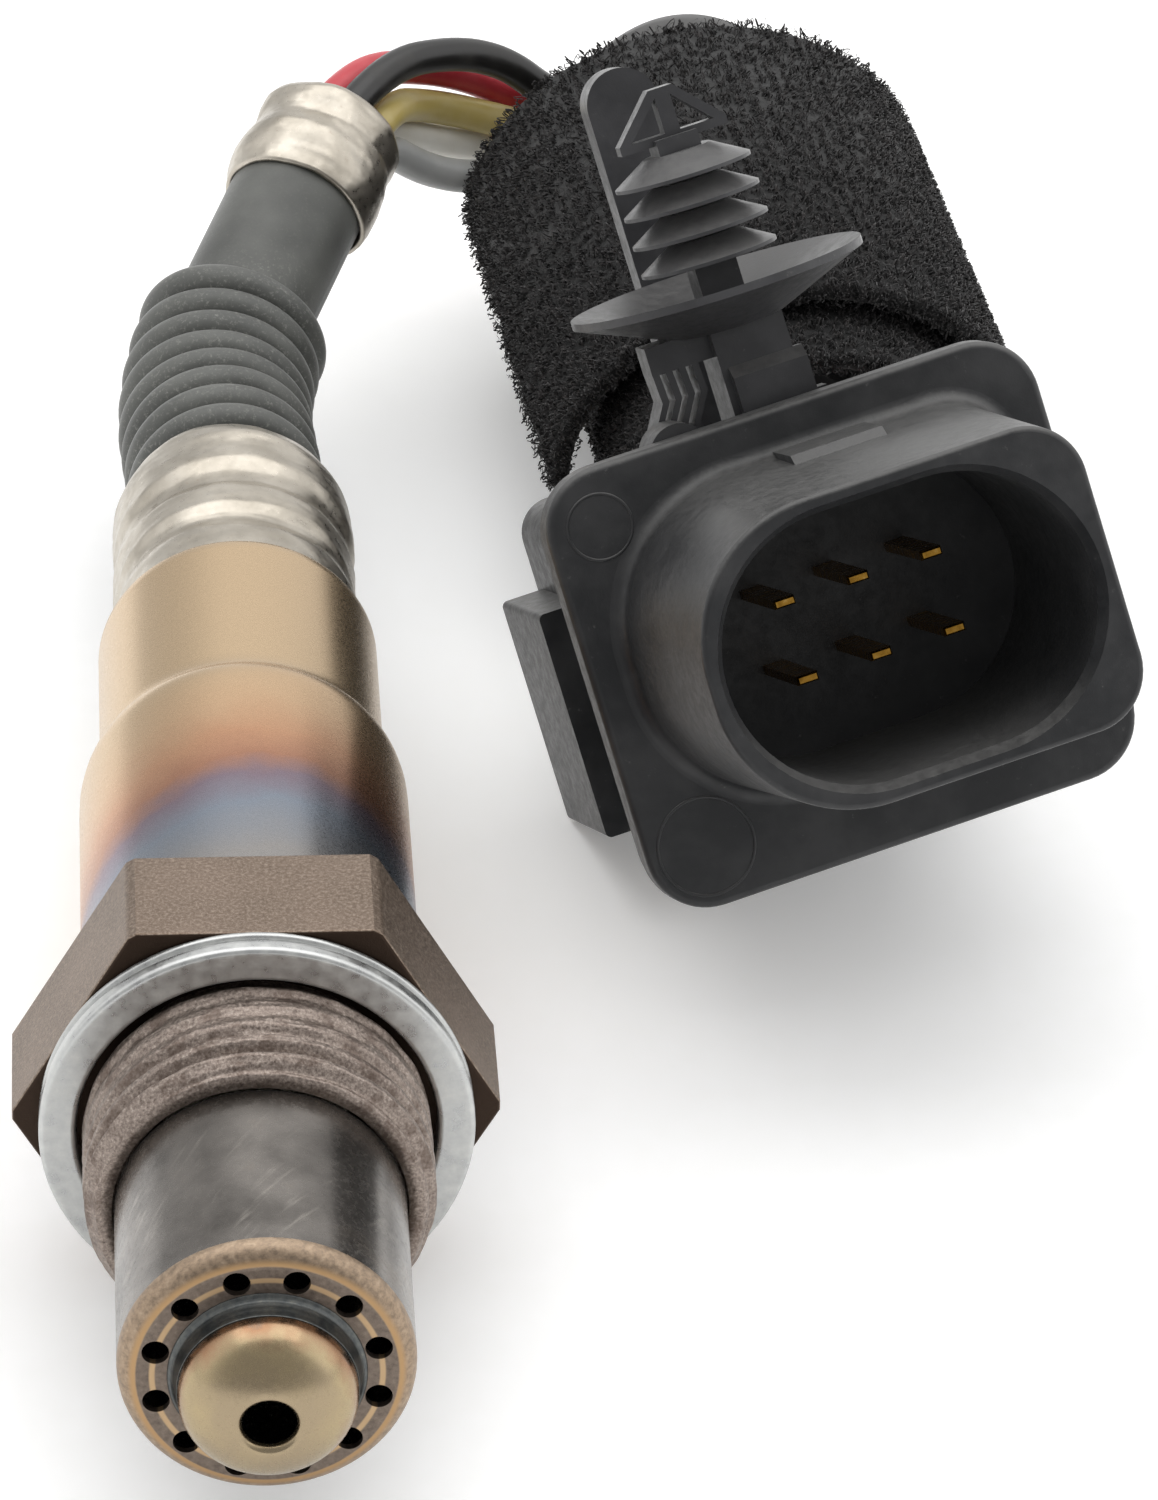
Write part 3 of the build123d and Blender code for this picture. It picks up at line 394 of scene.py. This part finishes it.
def wire_finish(name, base, worn):
    cover = Finish("wire_" + name + "_cover", base, 0.36)
    smudge = cover.grain(0.5, detail=4)
    speck = cover.grain(3.0, detail=5, roughness=0.7)
    tone = cover.blend(cover.spread(smudge, 0.4, 0.75, 0.0, 0.6), base, worn)
    cover.feed("Base Color", cover.blend(cover.spread(speck, 0.66, 0.8, 0.0, 0.3), tone, "4a4642"))
    cover.feed("Roughness", cover.spread(smudge, 0.3, 0.7, 0.3, 0.45))
    cover.bump(speck, 0.012, 0.3)
    return cover


def gold_finish():
    gold = Finish("contact_gold", "d9a441", 0.25, metallic=1.0)
    rub = gold.grain(2.0, detail=4)
    gold.feed("Base Color", gold.ramp(rub, (0.3, "8a6424"), (0.6, "b98c3c"), (0.8, "d4b06a")))
    gold.feed("Roughness", gold.spread(rub, 0.3, 0.7, 0.2, 0.36))
    return gold


def ceramic_finish(name, base, worn):
    clay = Finish(name, base, 0.6)
    speck = clay.grain(3.0, detail=5, roughness=0.7)
    clay.feed("Base Color", clay.blend(clay.spread(speck, 0.45, 0.7), base, worn))
    clay.bump(speck, 0.02, 0.4)
    return clay


def pile_finish(name, low, high):
    cloth = Finish(name, low, 0.85)
    tuft = cloth.grain(1.6, detail=4, roughness=0.7)
    cloth.feed("Base Color", cloth.blend(cloth.spread(tuft, 0.4, 0.75), low, high))
    cloth.shader.inputs["Sheen Weight"].default_value = 0.15
    cloth.shader.inputs["Sheen Roughness"].default_value = 0.5
    cloth.bump(tuft, 0.15, 0.6)
    return cloth


# --- sensor ------------------------------------------------------------------------------------------
across_flats = 22.0
hex_length = 7.26
corner_radius = 12.55
edge_wear = 0.16               # radius of the hexagon's worn edges
thread_pitch = 1.5
thread_major = 9.0
thread_front, thread_rear = -8.8, 0.0
tube_recess = 7.52             # radius of the groove round the outer tube's root
recess_floor = 7.2             # radius to which the groove's floor reaches in
recess_depth = 0.6
worn_depth = 0.2               # of the ridges by the washer
front_depth = 0.4              # added toward the thread's front end


def add_hexagon(finish):
    """The wrench hexagon: corners turned to a cylinder, and edges softened by wear."""
    corner = across_flats / math.sqrt(3)
    half_flat = (corner - corner_radius) * math.tan(math.radians(60))
    outline = []
    for k in range(6):
        out = Vector((math.cos(math.radians(60 * k)), math.sin(math.radians(60 * k))))
        across = Vector((-out.y, out.x))
        outline += [out * corner_radius - across * half_flat, out * corner_radius + across * half_flat]
    count = len(outline)
    points = [Vector((p.x, along, p.y)) * MM for along in (0.0, hex_length) for p in outline]
    faces = [[k, (k + 1) % count, count + (k + 1) % count, count + k] for k in range(count)]
    faces += [list(range(count))[::-1], list(range(count, 2 * count))]
    hexagon = add_mesh("hexagon", points, faces, finish, smooth=False)
    rounded = hexagon.modifiers.new("worn_edges", "BEVEL")
    rounded.width = edge_wear * MM
    rounded.segments = 3
    return hexagon


def thread_radius(along, angle):
    """Worn M18 thread: broad crests, a V groove and chamfered ends."""
    turn = (along / thread_pitch + angle / (2 * math.pi)) % 1.0
    groove = max(0.0, 1.0 - abs(turn - 0.5) / 0.4)
    depth = (worn_depth + front_depth * smoothstep(4.0, 7.0, -along)) * smoothstep(0.0, 0.9, groove)
    wear = 0.07 * noise.noise(Vector((math.cos(angle) * 5, along * 2.2, math.sin(angle) * 5)))
    wear += 0.035 * noise.noise(Vector((math.cos(angle) * 22, along * 5, math.sin(angle) * 22)))
    from_front = along - thread_front
    chamfer = max(0.0, 0.9 - from_front) * 0.75
    run_out = max(0.0, along + 1.9) * 0.6
    return thread_major - max(depth, chamfer, min(run_out, 0.9)) + wear - 0.04


def add_thread(finish):
    rows, steps = 150, 180
    points = []
    for i in range(rows):
        along = thread_front + (thread_rear - thread_front) * i / (rows - 1)
        for j in range(steps):
            angle = 2 * math.pi * j / steps
            radius = thread_radius(along, angle)
            points.append(Vector((radius * math.cos(angle), along, radius * math.sin(angle))) * MM)
    faces = grid_faces(rows, steps, wrap_columns=True)
    last = 0
    floor_along = thread_front + recess_depth
    recess = (tube_recess, thread_front), (tube_recess, floor_along), (recess_floor, floor_along)
    for radius, along in recess:
        first = len(points)
        for j in range(steps):
            angle = 2 * math.pi * j / steps
            points.append(Vector((radius * math.cos(angle), along, radius * math.sin(angle))) * MM)
        for j in range(steps):
            after = (j + 1) % steps
            faces.append([last + after, last + j, first + j, first + after])
        last = first
    return add_mesh("thread", points, faces, finish)


def add_sleeve(finish):
    """The drawn sleeve: a wide barrel, a short shoulder and a narrower barrel under the collar."""
    outer = [(8.95, 7.27), (8.95, 28.2), (8.93, 28.9), (8.84, 29.5), (8.62, 30.1), (8.3, 30.6), (8.02, 31.0),
             (7.86, 31.5), (7.8, 32.1), (7.8, 44.2), (7.7, 44.5), (7.5, 44.6), (6.4, 44.6)]
    inner = [(6.4, 44.15), (7.35, 44.15), (7.35, 32.3), (8.5, 28.5), (8.5, 7.27)]
    return lathe("sleeve_shell", divided(outer, 0.5) + divided(inner, 0.5), sensor_axis, finish)


def add_washer(finish):
    """The crushed two-fold washer, with a groove between its rolled lips."""
    outer = [(9.3, -0.02), (10.95, -0.02), (11.12, -0.1), (11.18, -0.28), (11.12, -0.46), (10.9, -0.56),
             (10.86, -0.78), (11.0, -0.88), (11.16, -0.98), (11.2, -1.15), (11.2, -1.6), (11.14, -1.78),
             (11.0, -1.87), (10.9, -1.88), (9.5, -1.88), (9.36, -1.82), (9.27, -1.66), (9.27, -0.1)]
    return lathe("washer_rim", divided(outer, 0.1), sensor_axis, finish)


dome_radius, dome_wall = 4.45, 0.4
dome_start, dome_depth = -24.2, 2.9
dome_lip = [(1.68, -26.87), (1.56, -26.82), (1.46, -26.74), (1.39, -26.63), (1.35, -26.48), (1.37, -26.4),
            (1.6, -26.36)]     # the rolled edge round the end hole, from outside to inside
tip_back = -9.0


def add_tip(finish):
    """The inner tube, out to its dome and the rolled edge of the hole in it."""
    def swept(inset, angles):
        """Points of the dome's curve, so far in from its outer face."""
        return [((dome_radius - inset) * math.cos(a), dome_start - (dome_depth - inset) * math.sin(a))
                for a in angles]

    arc = [math.radians(3 * i) for i in range(23)]
    straight = divided([(dome_radius, tip_back), (dome_radius, dome_start)], 0.5)
    inner = swept(dome_wall, arc[-3::-1]) + [(dome_radius - dome_wall, tip_back)]
    return lathe("tip_shell", straight[:-1] + swept(0, arc) + dome_lip + inner, sensor_axis, finish)


def add_neck(finish):
    """The inner tube's flared root, where it comes out through the outer tube's closed end."""
    outer = [(4.95, -22.58), (4.9, -22.66), (4.78, -22.74), (4.66, -22.9), (4.58, -23.15), (4.52, -23.5),
             (4.49, -23.9)]
    inner = [(4.46, -23.9), (4.46, -22.58)]
    return lathe("neck_flare", divided(outer, 0.1) + inner, sensor_axis, finish)


def dented(depth, size, seed):
    """Hammered dents, made by the crimping jaws."""
    def dent(radius, along, angle):
        spot = Vector((math.cos(angle) * size, math.sin(angle) * size, along * 0.55 + seed))
        return depth * (noise.noise(spot) + 0.16 * noise.noise(4 * spot))
    return dent


def add_collar(finish):
    """The crimped band over the sleeve's neck, with two rolled grooves."""
    outer = [(6.5, 44.75), (6.82, 44.8), (6.9, 45.2), (6.9, 47.9), (6.8, 48.4), (6.58, 49.1), (6.58, 49.7),
             (6.85, 50.4), (6.92, 51.2), (6.88, 52.2), (6.62, 53.2), (6.6, 54.4), (6.86, 55.3), (6.92, 56.4),
             (6.88, 58.2), (6.66, 59.2), (6.3, 59.95)]
    inner = [(5.95, 59.9), (6.2, 58.6), (6.45, 57.0), (6.45, 44.8)]
    return lathe("crimp_band", divided(outer, 0.25) + inner, sensor_axis, finish, dent=dented(0.2, 1.5, 3))


hose_corner = (-1.17, 76.66, -0.81)
hose_heading = (0.374, 0.863, 0.341)


def add_ferrule(finish):
    outer = [(4.25, 14.8), (4.45, 14.85), (4.55, 15.2), (4.78, 16.1), (4.85, 17.0), (4.82, 17.9), (4.6, 18.7),
             (4.42, 19.3), (4.44, 19.9), (4.52, 20.5), (4.5, 21.2), (4.3, 21.6), (4.1, 21.7)]
    inner = [(3.85, 21.6), (3.95, 21.0), (4.12, 19.2), (4.15, 14.9)]
    profile = divided(outer, 0.2) + inner
    seat = seat_on(hose_corner, hose_heading)
    return lathe("ferrule_band", profile, seat, finish, steps=144, dent=dented(0.2, 1.7, 9))


# --- lead: each wire's control points repeat its route in the CAD -------------------------------------
wire_radius = 1.05
wire_ring_radius, wire_exit_radius = 1.92, 2.4
hose_ring_angle, sheath_ring_angle = 75, 90
pin_pitch_x, pin_pitch_y = 4.22, 4.29
shroud_rise = 1.05
wire_end_depths = 28.5, 18.0     # behind the flange's face, where a wire's straight end starts and stops
lead_middle = [
    (0, 44.0, 0), (0, 60.1, 0), hose_corner, (7.99, 97.79, 7.54), (14.7, 103.4, 3.8), (21.2, 105.2, 0.9),
    (24.7, 109.1, -0.1), (29.8, 110.2, 3.5), (35.0, 104.9, 2.0), (32.7, 94.0, -3.1), (33.7, 80.0, -3.2),
    (34.8, 66.0, -2.0)]
stack_station = 4
wire_colours = ("black", "red", "yellow", "white", "grey")
stack_levels = {"black": 4.45, "red": 2.2, "yellow": -0.4, "white": -2.8, "grey": -4.45}
stack_sides = {"black": 0.95, "red": -1.95, "yellow": -1.95, "white": -1.4, "grey": 1.5}
grid_slots = {"yellow": (0, 0), "black": (1, 0), "red": (2, 0), "grey": (0, 1), "white": (2, 1)}


def ring_offsets(radius, first_angle):
    angles = [math.radians(first_angle + 72 * i) for i in (0, 1, 4, 2, 3)]
    return {c: (radius * math.cos(a), radius * math.sin(a)) for c, a in zip(wire_colours, angles)}


ring_in_hose = ring_offsets(wire_ring_radius, hose_ring_angle)
ring_in_sheath = ring_offsets(wire_ring_radius, sheath_ring_angle)
ring_at_exit = ring_offsets(wire_exit_radius, sheath_ring_angle)
connector_turns = 9.2, 26.7, 12.6  # yaw, pitch and roll, in degrees
connector_place = (32.75, 31.69, 9.40)


def connector_frame():
    yaw, pitch, roll = (math.radians(a) for a in connector_turns)
    out = Vector((math.sin(yaw) * math.cos(pitch), -math.cos(yaw) * math.cos(pitch), math.sin(pitch)))
    level = Vector((math.cos(yaw), math.sin(yaw), 0))
    across = level * math.cos(roll) + out.cross(level) * math.sin(roll)
    up = out.cross(across)
    turn = Matrix((across, up, out)).transposed().to_4x4()
    return Matrix.Translation(connector_place) @ turn


connector = connector_frame()
connector_seat = Matrix.Translation(connector.translation * MM) @ connector.to_3x3().to_4x4()


def offset_at(name, station):
    if station < stack_station:
        return ring_in_hose[name]
    if station == stack_station:
        return stack_sides[name], stack_levels[name]
    if station == len(lead_middle) - 1:
        return ring_at_exit[name]
    return ring_in_sheath[name]


def wire_points(name):
    middle = [Vector(p) for p in lead_middle]
    last = len(middle) - 1
    points = []
    for i, place in enumerate(middle):
        leaving = (middle[min(i + 1, last)] - middle[min(i, last - 1)]).normalized()
        coming = (place - middle[i - 1]).normalized() if i else leaving
        side = coming.cross(Vector((0, 0, 1))).normalized()
        right, above = offset_at(name, i)
        offset = side * right + side.cross(coming) * above
        halving = (coming + leaving).normalized()
        points.append(place + offset - coming * (offset.dot(halving) / coming.dot(halving)))
    column, row = grid_slots[name]
    x = (column - 1) * pin_pitch_x
    y = shroud_rise + (0.5 - row) * pin_pitch_y
    return points + [connector @ Vector((x, y, -depth)) for depth in wire_end_depths]


def add_cord(name, points, radius, finish):
    curve = bpy.data.curves.new(name, "CURVE")
    curve.dimensions = "3D"
    curve.bevel_depth = radius * MM
    curve.bevel_resolution = 6
    curve.resolution_u = 16
    curve.use_fill_caps = True
    spline = curve.splines.new("NURBS")
    spline.points.add(len(points) - 1)
    for target, point in zip(spline.points, points):
        target.co = (*(Vector(point) * MM), 1)
    spline.order_u = 3
    spline.use_endpoint_u = True
    return place_piece(name, curve, finish)


wire_tones = {"black": ("1d1c1b", "34322f"), "red": ("c03a44", "cf5c62"), "yellow": ("bfab66", "cdbd86"),
              "white": ("e4e1d8", "f0eee8"), "grey": ("9d9e9d", "b2b2b0")}


def add_wires():
    for name in wire_colours:
        base, worn = wire_tones[name]
        cable = add_cord("lead_" + name, wire_points(name), wire_radius, wire_finish(name, base, worn))
        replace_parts(cable, "wire_" + name)


sheath_radius = 3.75
sheath_route = [(22.9, 107.1, 0.4), (24.7, 109.1, -0.1), (29.8, 110.2, 3.5), (35.0, 104.9, 2.0),
                (32.7, 94.0, -3.1), (33.7, 80.0, -3.2), (34.18, 73.95, -2.68)]


def add_sheath(finish):
    sleeve = add_cord("lead_sheath", sheath_route, sheath_radius, finish)
    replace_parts(sleeve, "harness_sheath")


# --- wrap: a loop-pile strap rolled twice round the harness ---------------------------------------------
wrap_width = 34.0
wrap_turns = 2.0
wrap_span, wrap_height = 28.6, 22.1
wrap_side_pitch, wrap_layer_pitch = 2.9, 2.1
wrap_seat = (33.9, 67.65)
wrap_yaw = 6.0
wrap_tail_lift = 0.5
band_depth = (0.45, 1.45)        # the band's two faces, in from the CAD solid's outer one
inner_lead = 4.5                 # how far the inner turn slips out of the front
strap_length = 146.0
band_step = 0.45
knit_column = 0.75
loop_step = 0.28
inner_reach = 9.0                # how far back loops are laid on the inner turn
fibre_width = 0.09
fibre_sunk = 0.06                # how deep a fibre's feet lie in the band
fuzz_fibres = 9000


def wrap_point(turn, inset, along):
    """A point of the rolled strap: so many turns in, so deep, and so far back from its front edge."""
    angle = math.pi * (1.03 - 2 * turn)
    start_high = (wrap_height + wrap_layer_pitch) / 2
    wide = (wrap_span + wrap_side_pitch / 2) / 2 - wrap_side_pitch * turn - inset
    wide += wrap_tail_lift * max(0.0, 1 - 8 * turn)
    high = start_high - wrap_layer_pitch * turn - inset
    level = table / MM + start_high - 0.75 * wrap_layer_pitch
    yaw = math.radians(wrap_yaw)
    across = Vector((math.cos(yaw), math.sin(yaw), 0))
    back = Vector((-math.sin(yaw), math.cos(yaw), 0))
    seat = Vector((*wrap_seat, level))
    return seat + across * wide * math.cos(angle) + back * along + Vector((0, 0, high * math.sin(angle)))


def front_edge(turn):
    """Where the strap's front edge lies, with the knitted selvedge's small scallops."""
    scallop = 0.22 * abs(math.sin(math.pi * strap_length * turn / wrap_turns / 1.1))
    return scallop - inner_lead * smoothstep(0.72, 1.1, turn)


def add_band(finish):
    """The strap's woven band, as one closed ribbon."""
    stations = int(strap_length / band_step)
    middle = sum(band_depth) / 2
    points = []
    for i in range(stations + 1):
        turn = wrap_turns * i / stations
        near = front_edge(turn)
        far = near + wrap_width - 0.3
        section = [(band_depth[0], near + 0.25), (band_depth[0], far - 0.25), (middle, far),
                   (band_depth[1], far - 0.25), (band_depth[1], near + 0.25), (middle, near)]
        points += [wrap_point(turn, inset, along) * MM for inset, along in section]
    faces = grid_faces(stations + 1, 6, wrap_columns=True)
    last = 6 * stations
    faces += [[5, 4, 3, 2, 1, 0], [last + k for k in range(6)]]
    return add_mesh("strap_band", points, faces, finish)


def lay_ribbon(points, faces, centres, side):
    """Add one flat fibre along its centres, half of its width to each side."""
    first = len(points)
    for centre in centres:
        points += [(centre - side) * MM, (centre + side) * MM]
    for j in range(len(centres) - 1):
        a = first + 2 * j
        faces.append([a, a + 1, a + 3, a + 2])


def add_loops(name, turns, reach, twins, seed, finish):
    """Loops of fibre in knitted columns over the band's outer face: each an arch of flat ribbon."""
    chance = random.Random(seed)
    points = []
    faces = []
    arch = (0.0, 0.75, 1.0, 0.75, 0.0)
    columns = int(strap_length * (turns[1] - turns[0]) / wrap_turns / knit_column)
    for column in range(columns):
        for _ in range(int(reach / loop_step) * twins):
            share = (column + 0.5 + chance.gauss(0, 0.24)) / columns
            turn = turns[0] + (turns[1] - turns[0]) * share
            along = front_edge(turn) + chance.uniform(-0.05, reach)
            root = wrap_point(turn, band_depth[0], along)
            out = (wrap_point(turn, 0.0, along) - root).normalized()
            ahead = (wrap_point(turn + 0.004, band_depth[0], along) - root).normalized()
            across = out.cross(ahead)
            heading = chance.uniform(0, math.pi)
            run = ahead * math.cos(heading) + across * math.sin(heading)
            lean = out + ahead * chance.gauss(0, 0.4) + across * chance.gauss(0, 0.4)
            half = chance.uniform(0.14, 0.3)
            high = chance.uniform(0.22, 0.5)
            side = run.cross(lean).normalized() * fibre_width / 2
            centres = [root + run * half * (j / 2 - 1) + lean * (rise * high - fibre_sunk)
                       for j, rise in enumerate(arch)]
            lay_ribbon(points, faces, centres, side)
    return add_mesh(name, points, faces, finish)


def add_edge_fuzz(finish):
    """Fibre ends that stand out of the strap's front edge and, one in six, out of its free cut end."""
    chance = random.Random(21)
    points = []
    faces = []
    for k in range(fuzz_fibres):
        at_front = k % 6 > 0
        turn = wrap_turns * chance.random() if at_front else 0.0
        along = front_edge(turn) if at_front else front_edge(0.0) + chance.uniform(0, wrap_width)
        root = wrap_point(turn, chance.uniform(0.1, band_depth[1] + 0.1), along)
        face = wrap_point(turn, band_depth[0], along)
        ahead = (wrap_point(turn + 0.004, band_depth[0], along) - root).normalized()
        forward = wrap_point(turn, band_depth[0], along - 1) - face
        out = forward if at_front else -ahead
        loose = Vector([chance.gauss(0, 0.5) for _ in range(3)])
        tip = (out + loose).normalized() * chance.uniform(0.15, 0.42)
        bend = Vector([chance.gauss(0, 0.12) for _ in range(3)])
        side = tip.cross(bend).normalized() * fibre_width / 2
        lay_ribbon(points, faces, [root, root + tip / 2 + bend, root + tip], side)
    return add_mesh("pile_edge", points, faces, finish)


def add_wrap():
    pile = pile_finish("wrap_pile", "110f10", "2f2b2a")
    band = add_band(pile_finish("wrap_band", "0a0a0a", "151414"))
    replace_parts(band, "harness_wrap")
    loops = [add_loops("pile_top", (0.0, 0.55), wrap_width, 3, 5, pile),
             add_loops("pile_under", (0.55, 1.0), wrap_width, 1, 6, pile),
             add_loops("pile_inner", (1.0, 2.0), inner_reach, 2, 8, pile), add_edge_fuzz(pile)]


# --- moulding marks ------------------------------------------------------------------------------------
mark_half_width, mark_rise = 0.09, 0.05
mark_angles = 0, 0.8, 1.57, 2.34, 3.14, 4.71  # round the line's section, in radians


def add_ring_mark(name, x, y, radius, finish):
    """The fine raised line that an ejector pin leaves on the flange."""
    section = [(radius + mark_half_width * math.cos(a), mark_rise * math.sin(a)) for a in mark_angles]
    seat = connector_seat @ Matrix.Translation((x * MM, y * MM, 0))
    return lathe(name, section, seat, finish, steps=72)


# --- camera, light and floor ----------------------------------------------------------------------------
studio_level = 0.78              # strength of the light that falls on the object from all round
camera_side = 0.45               # share of the tent's white that metal shows towards the camera
left_side = 0.68                 # the same, low at the back left
camera_patch = (-0.06, -0.845, 0.53), 75, 25  # its direction, and its outer and inner half angles
left_patch = (-0.6, 0.8, 0.12), 38, 12
floor_glow = 0.16                # whitens the paper in view and in reflections, and leaves its shadows
camera_place = (-6.7606, -338.4310, 234.9958)
camera_axes = ((0.99819944, -0.05780084, 0.0160295),      # to the right of the frame
               (0.01723869, 0.53240776, 0.84631247),      # to its top
               (-0.0574518, -0.84451231, 0.53244554))     # away from the object
camera_lens, camera_film = 192, 36  # focal length and film width


def add_camera():
    data = bpy.data.cameras.new("camera")
    data.sensor_width = camera_film
    data.lens = camera_lens
    data.clip_start = 0.01
    data.clip_end = 20
    camera = bpy.data.objects.new("camera", data)
    turn = Matrix(camera_axes).transposed().to_4x4()
    camera.matrix_world = Matrix.Translation(Vector(camera_place) * MM) @ turn
    bpy.context.scene.collection.objects.link(camera)
    bpy.context.scene.camera = camera


def set_view():
    """Show colours without a film's tone curve."""
    bpy.context.scene.view_settings.view_transform = "Standard"


def add_lamp(name, place, target, size, power):
    data = bpy.data.lights.new(name, "AREA")
    data.shape = "RECTANGLE"
    data.size, data.size_y = size
    data.energy = power
    lamp = bpy.data.objects.new(name, data)
    lamp.location = place
    lamp.rotation_euler = (Vector(target) - Vector(place)).to_track_quat("-Z", "Y").to_euler()
    bpy.context.scene.collection.objects.link(lamp)


def add_studio():
    """Plain light from all round, a white tent for metal to mirror, and three broad lamps."""
    world = bpy.data.worlds.new("studio")
    bpy.context.scene.world = world
    world.use_nodes = True
    tree = world.node_tree
    direction = add_node(tree, "ShaderNodeTexCoord").outputs["Generated"]

    def patch(level, towards, wide, narrow, dark):
        """The level, falling to the dark one inside a cone whose edges are two angles in degrees."""
        to_centre = add_node(tree, "ShaderNodeVectorMath", {0: direction, 1: Vector(towards).normalized()},
                             operation="DOT_PRODUCT").outputs["Value"]
        limits = {"Value": to_centre, "From Min": math.cos(math.radians(wide)),
                  "From Max": math.cos(math.radians(narrow)), "To Min": 1.0, "To Max": dark}
        share = add_node(tree, "ShaderNodeMapRange", limits, interpolation_type="SMOOTHSTEP").outputs[0]
        return add_node(tree, "ShaderNodeMath", {0: level, 1: share}, operation="MULTIPLY").outputs[0]

    path = add_node(tree, "ShaderNodeLightPath").outputs
    mirrored = add_node(tree, "ShaderNodeMath", {0: path["Is Glossy Ray"], 1: path["Is Transmission Ray"]},
                        operation="MAXIMUM").outputs[0]
    tent = patch(1.0, *camera_patch, camera_side)
    tent = patch(tent, *left_patch, left_side)
    level = add_node(tree, "ShaderNodeMix", {0: mirrored, 2: studio_level, 3: tent}).outputs[0]
    shown = add_node(tree, "ShaderNodeMix", {0: path["Is Camera Ray"], 2: level, 3: 1.0}).outputs[0]
    background = tree.nodes["Background"]
    background.inputs["Color"].default_value = (1, 1, 1, 1)
    tree.links.new(shown, background.inputs["Strength"])
    add_lamp("key", (-0.65, 0.15, 0.50), (0.01, 0.04, 0), (0.9, 0.9), 0.6)
    add_lamp("right", (0.65, 0.00, 0.45), (0.02, 0.04, 0), (0.8, 0.8), 1.0)
    add_lamp("top", (0.0, 0.25, 0.80), (0.01, 0.05, 0), (1.1, 0.9), 4.0)


def add_floor():
    paper = Finish("floor_paper", "fafafa", 0.95)
    fibre = paper.grain(0.8, detail=5)
    paper.feed("Base Color", paper.ramp(fibre, (0.3, "f8f8f7"), (0.7, "fcfcfc")))
    path = paper.node("ShaderNodeLightPath").outputs
    mirrored = paper.maths("MAXIMUM", path["Is Glossy Ray"], path["Is Transmission Ray"])
    seen = paper.maths("MAXIMUM", path["Is Camera Ray"], mirrored)
    paper.shader.inputs["Emission Color"].default_value = (1, 1, 1, 1)
    paper.feed("Emission Strength", paper.maths("MULTIPLY", seen, floor_glow))
    half = 1.5
    level = table - 0.02 * MM
    corners = [(-half, -half, level), (half, -half, level), (half, half, level), (-half, half, level)]
    mesh = bpy.data.meshes.new("floor")
    mesh.from_pydata(corners, [], [[0, 1, 2, 3]])
    mesh.materials.append(paper.material)
    floor = bpy.data.objects.new("floor", mesh)
    bpy.context.scene.collection.objects.link(floor)


# --- the scene --------------------------------------------------------------------------------------------
def dress(node, finish):
    """Give a CAD node its finish."""
    materials = nodes[node].data.materials
    if len(materials) == 0:
        materials.append(finish.material)
    for i in range(len(materials)):
        materials[i] = finish.material


add_camera()
set_view()
add_studio()
add_floor()
add_wires()
plastic = plastic_finish("connector_plastic", "1c1d1f", "373738", 0.42)
clip_plastic = plastic_finish("clip_plastic", "303032", "464648", 0.36)
add_sheath(plastic_finish("sheath_plastic", "1d1d1f", "2c2c2e", 0.5))
add_wrap()

hexagon = add_hexagon(hexagon_finish())
thread = add_thread(thread_finish())
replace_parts(hexagon, "sensor_body")
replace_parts(thread, "sensor_body")
add_neck(neck_finish())
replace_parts(add_collar(collar_finish("collar_steel")), "crimp_collar")
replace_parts(add_ferrule(collar_finish("ferrule_steel")), "hose_ferrule")
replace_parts(add_washer(washer_finish()), "sealing_washer")
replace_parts(add_tip(dome_finish()), "inner_protection_tube")
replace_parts(add_sleeve(sleeve_finish()), "protective_sleeve")
dress("outer_protection_tube", tube_finish())
dress("bellows_hose", rubber_finish())
dress("ferrule_plug", plastic_finish("plug_rubber", "222322", "313130", 0.6))
dress("seal_grommet", plastic_finish("grommet_rubber", "222322", "313130", 0.6))
dress("wire_seals", plastic_finish("seal_rubber", "3d4654", "56606e", 0.6))
dress("connector_housing", plastic)
dress("connector_rear_cover", plastic)
add_ring_mark("ejector_mark_low", -10.9, -9.1, 2.7, plastic)
add_ring_mark("ejector_mark_high", -11.3, 9.3, 1.8, plastic)
dress("fir_tree_clip", clip_plastic)
dress("contact_pins", gold_finish())
dress("contact_springs", gold_finish())
for name in ("sensor_element", "lower_ceramic_bush", "upper_ceramic_bush", "contact_holder"):
    dress(name, ceramic_finish(name + "_ceramic", "d8d2c4", "bfb7a6"))
dress("talc_seal", ceramic_finish("talc", "b8b3a8", "98938a"))
dress("trim_resistor", ceramic_finish("resistor_glaze", "6d7f5e", "566849"))
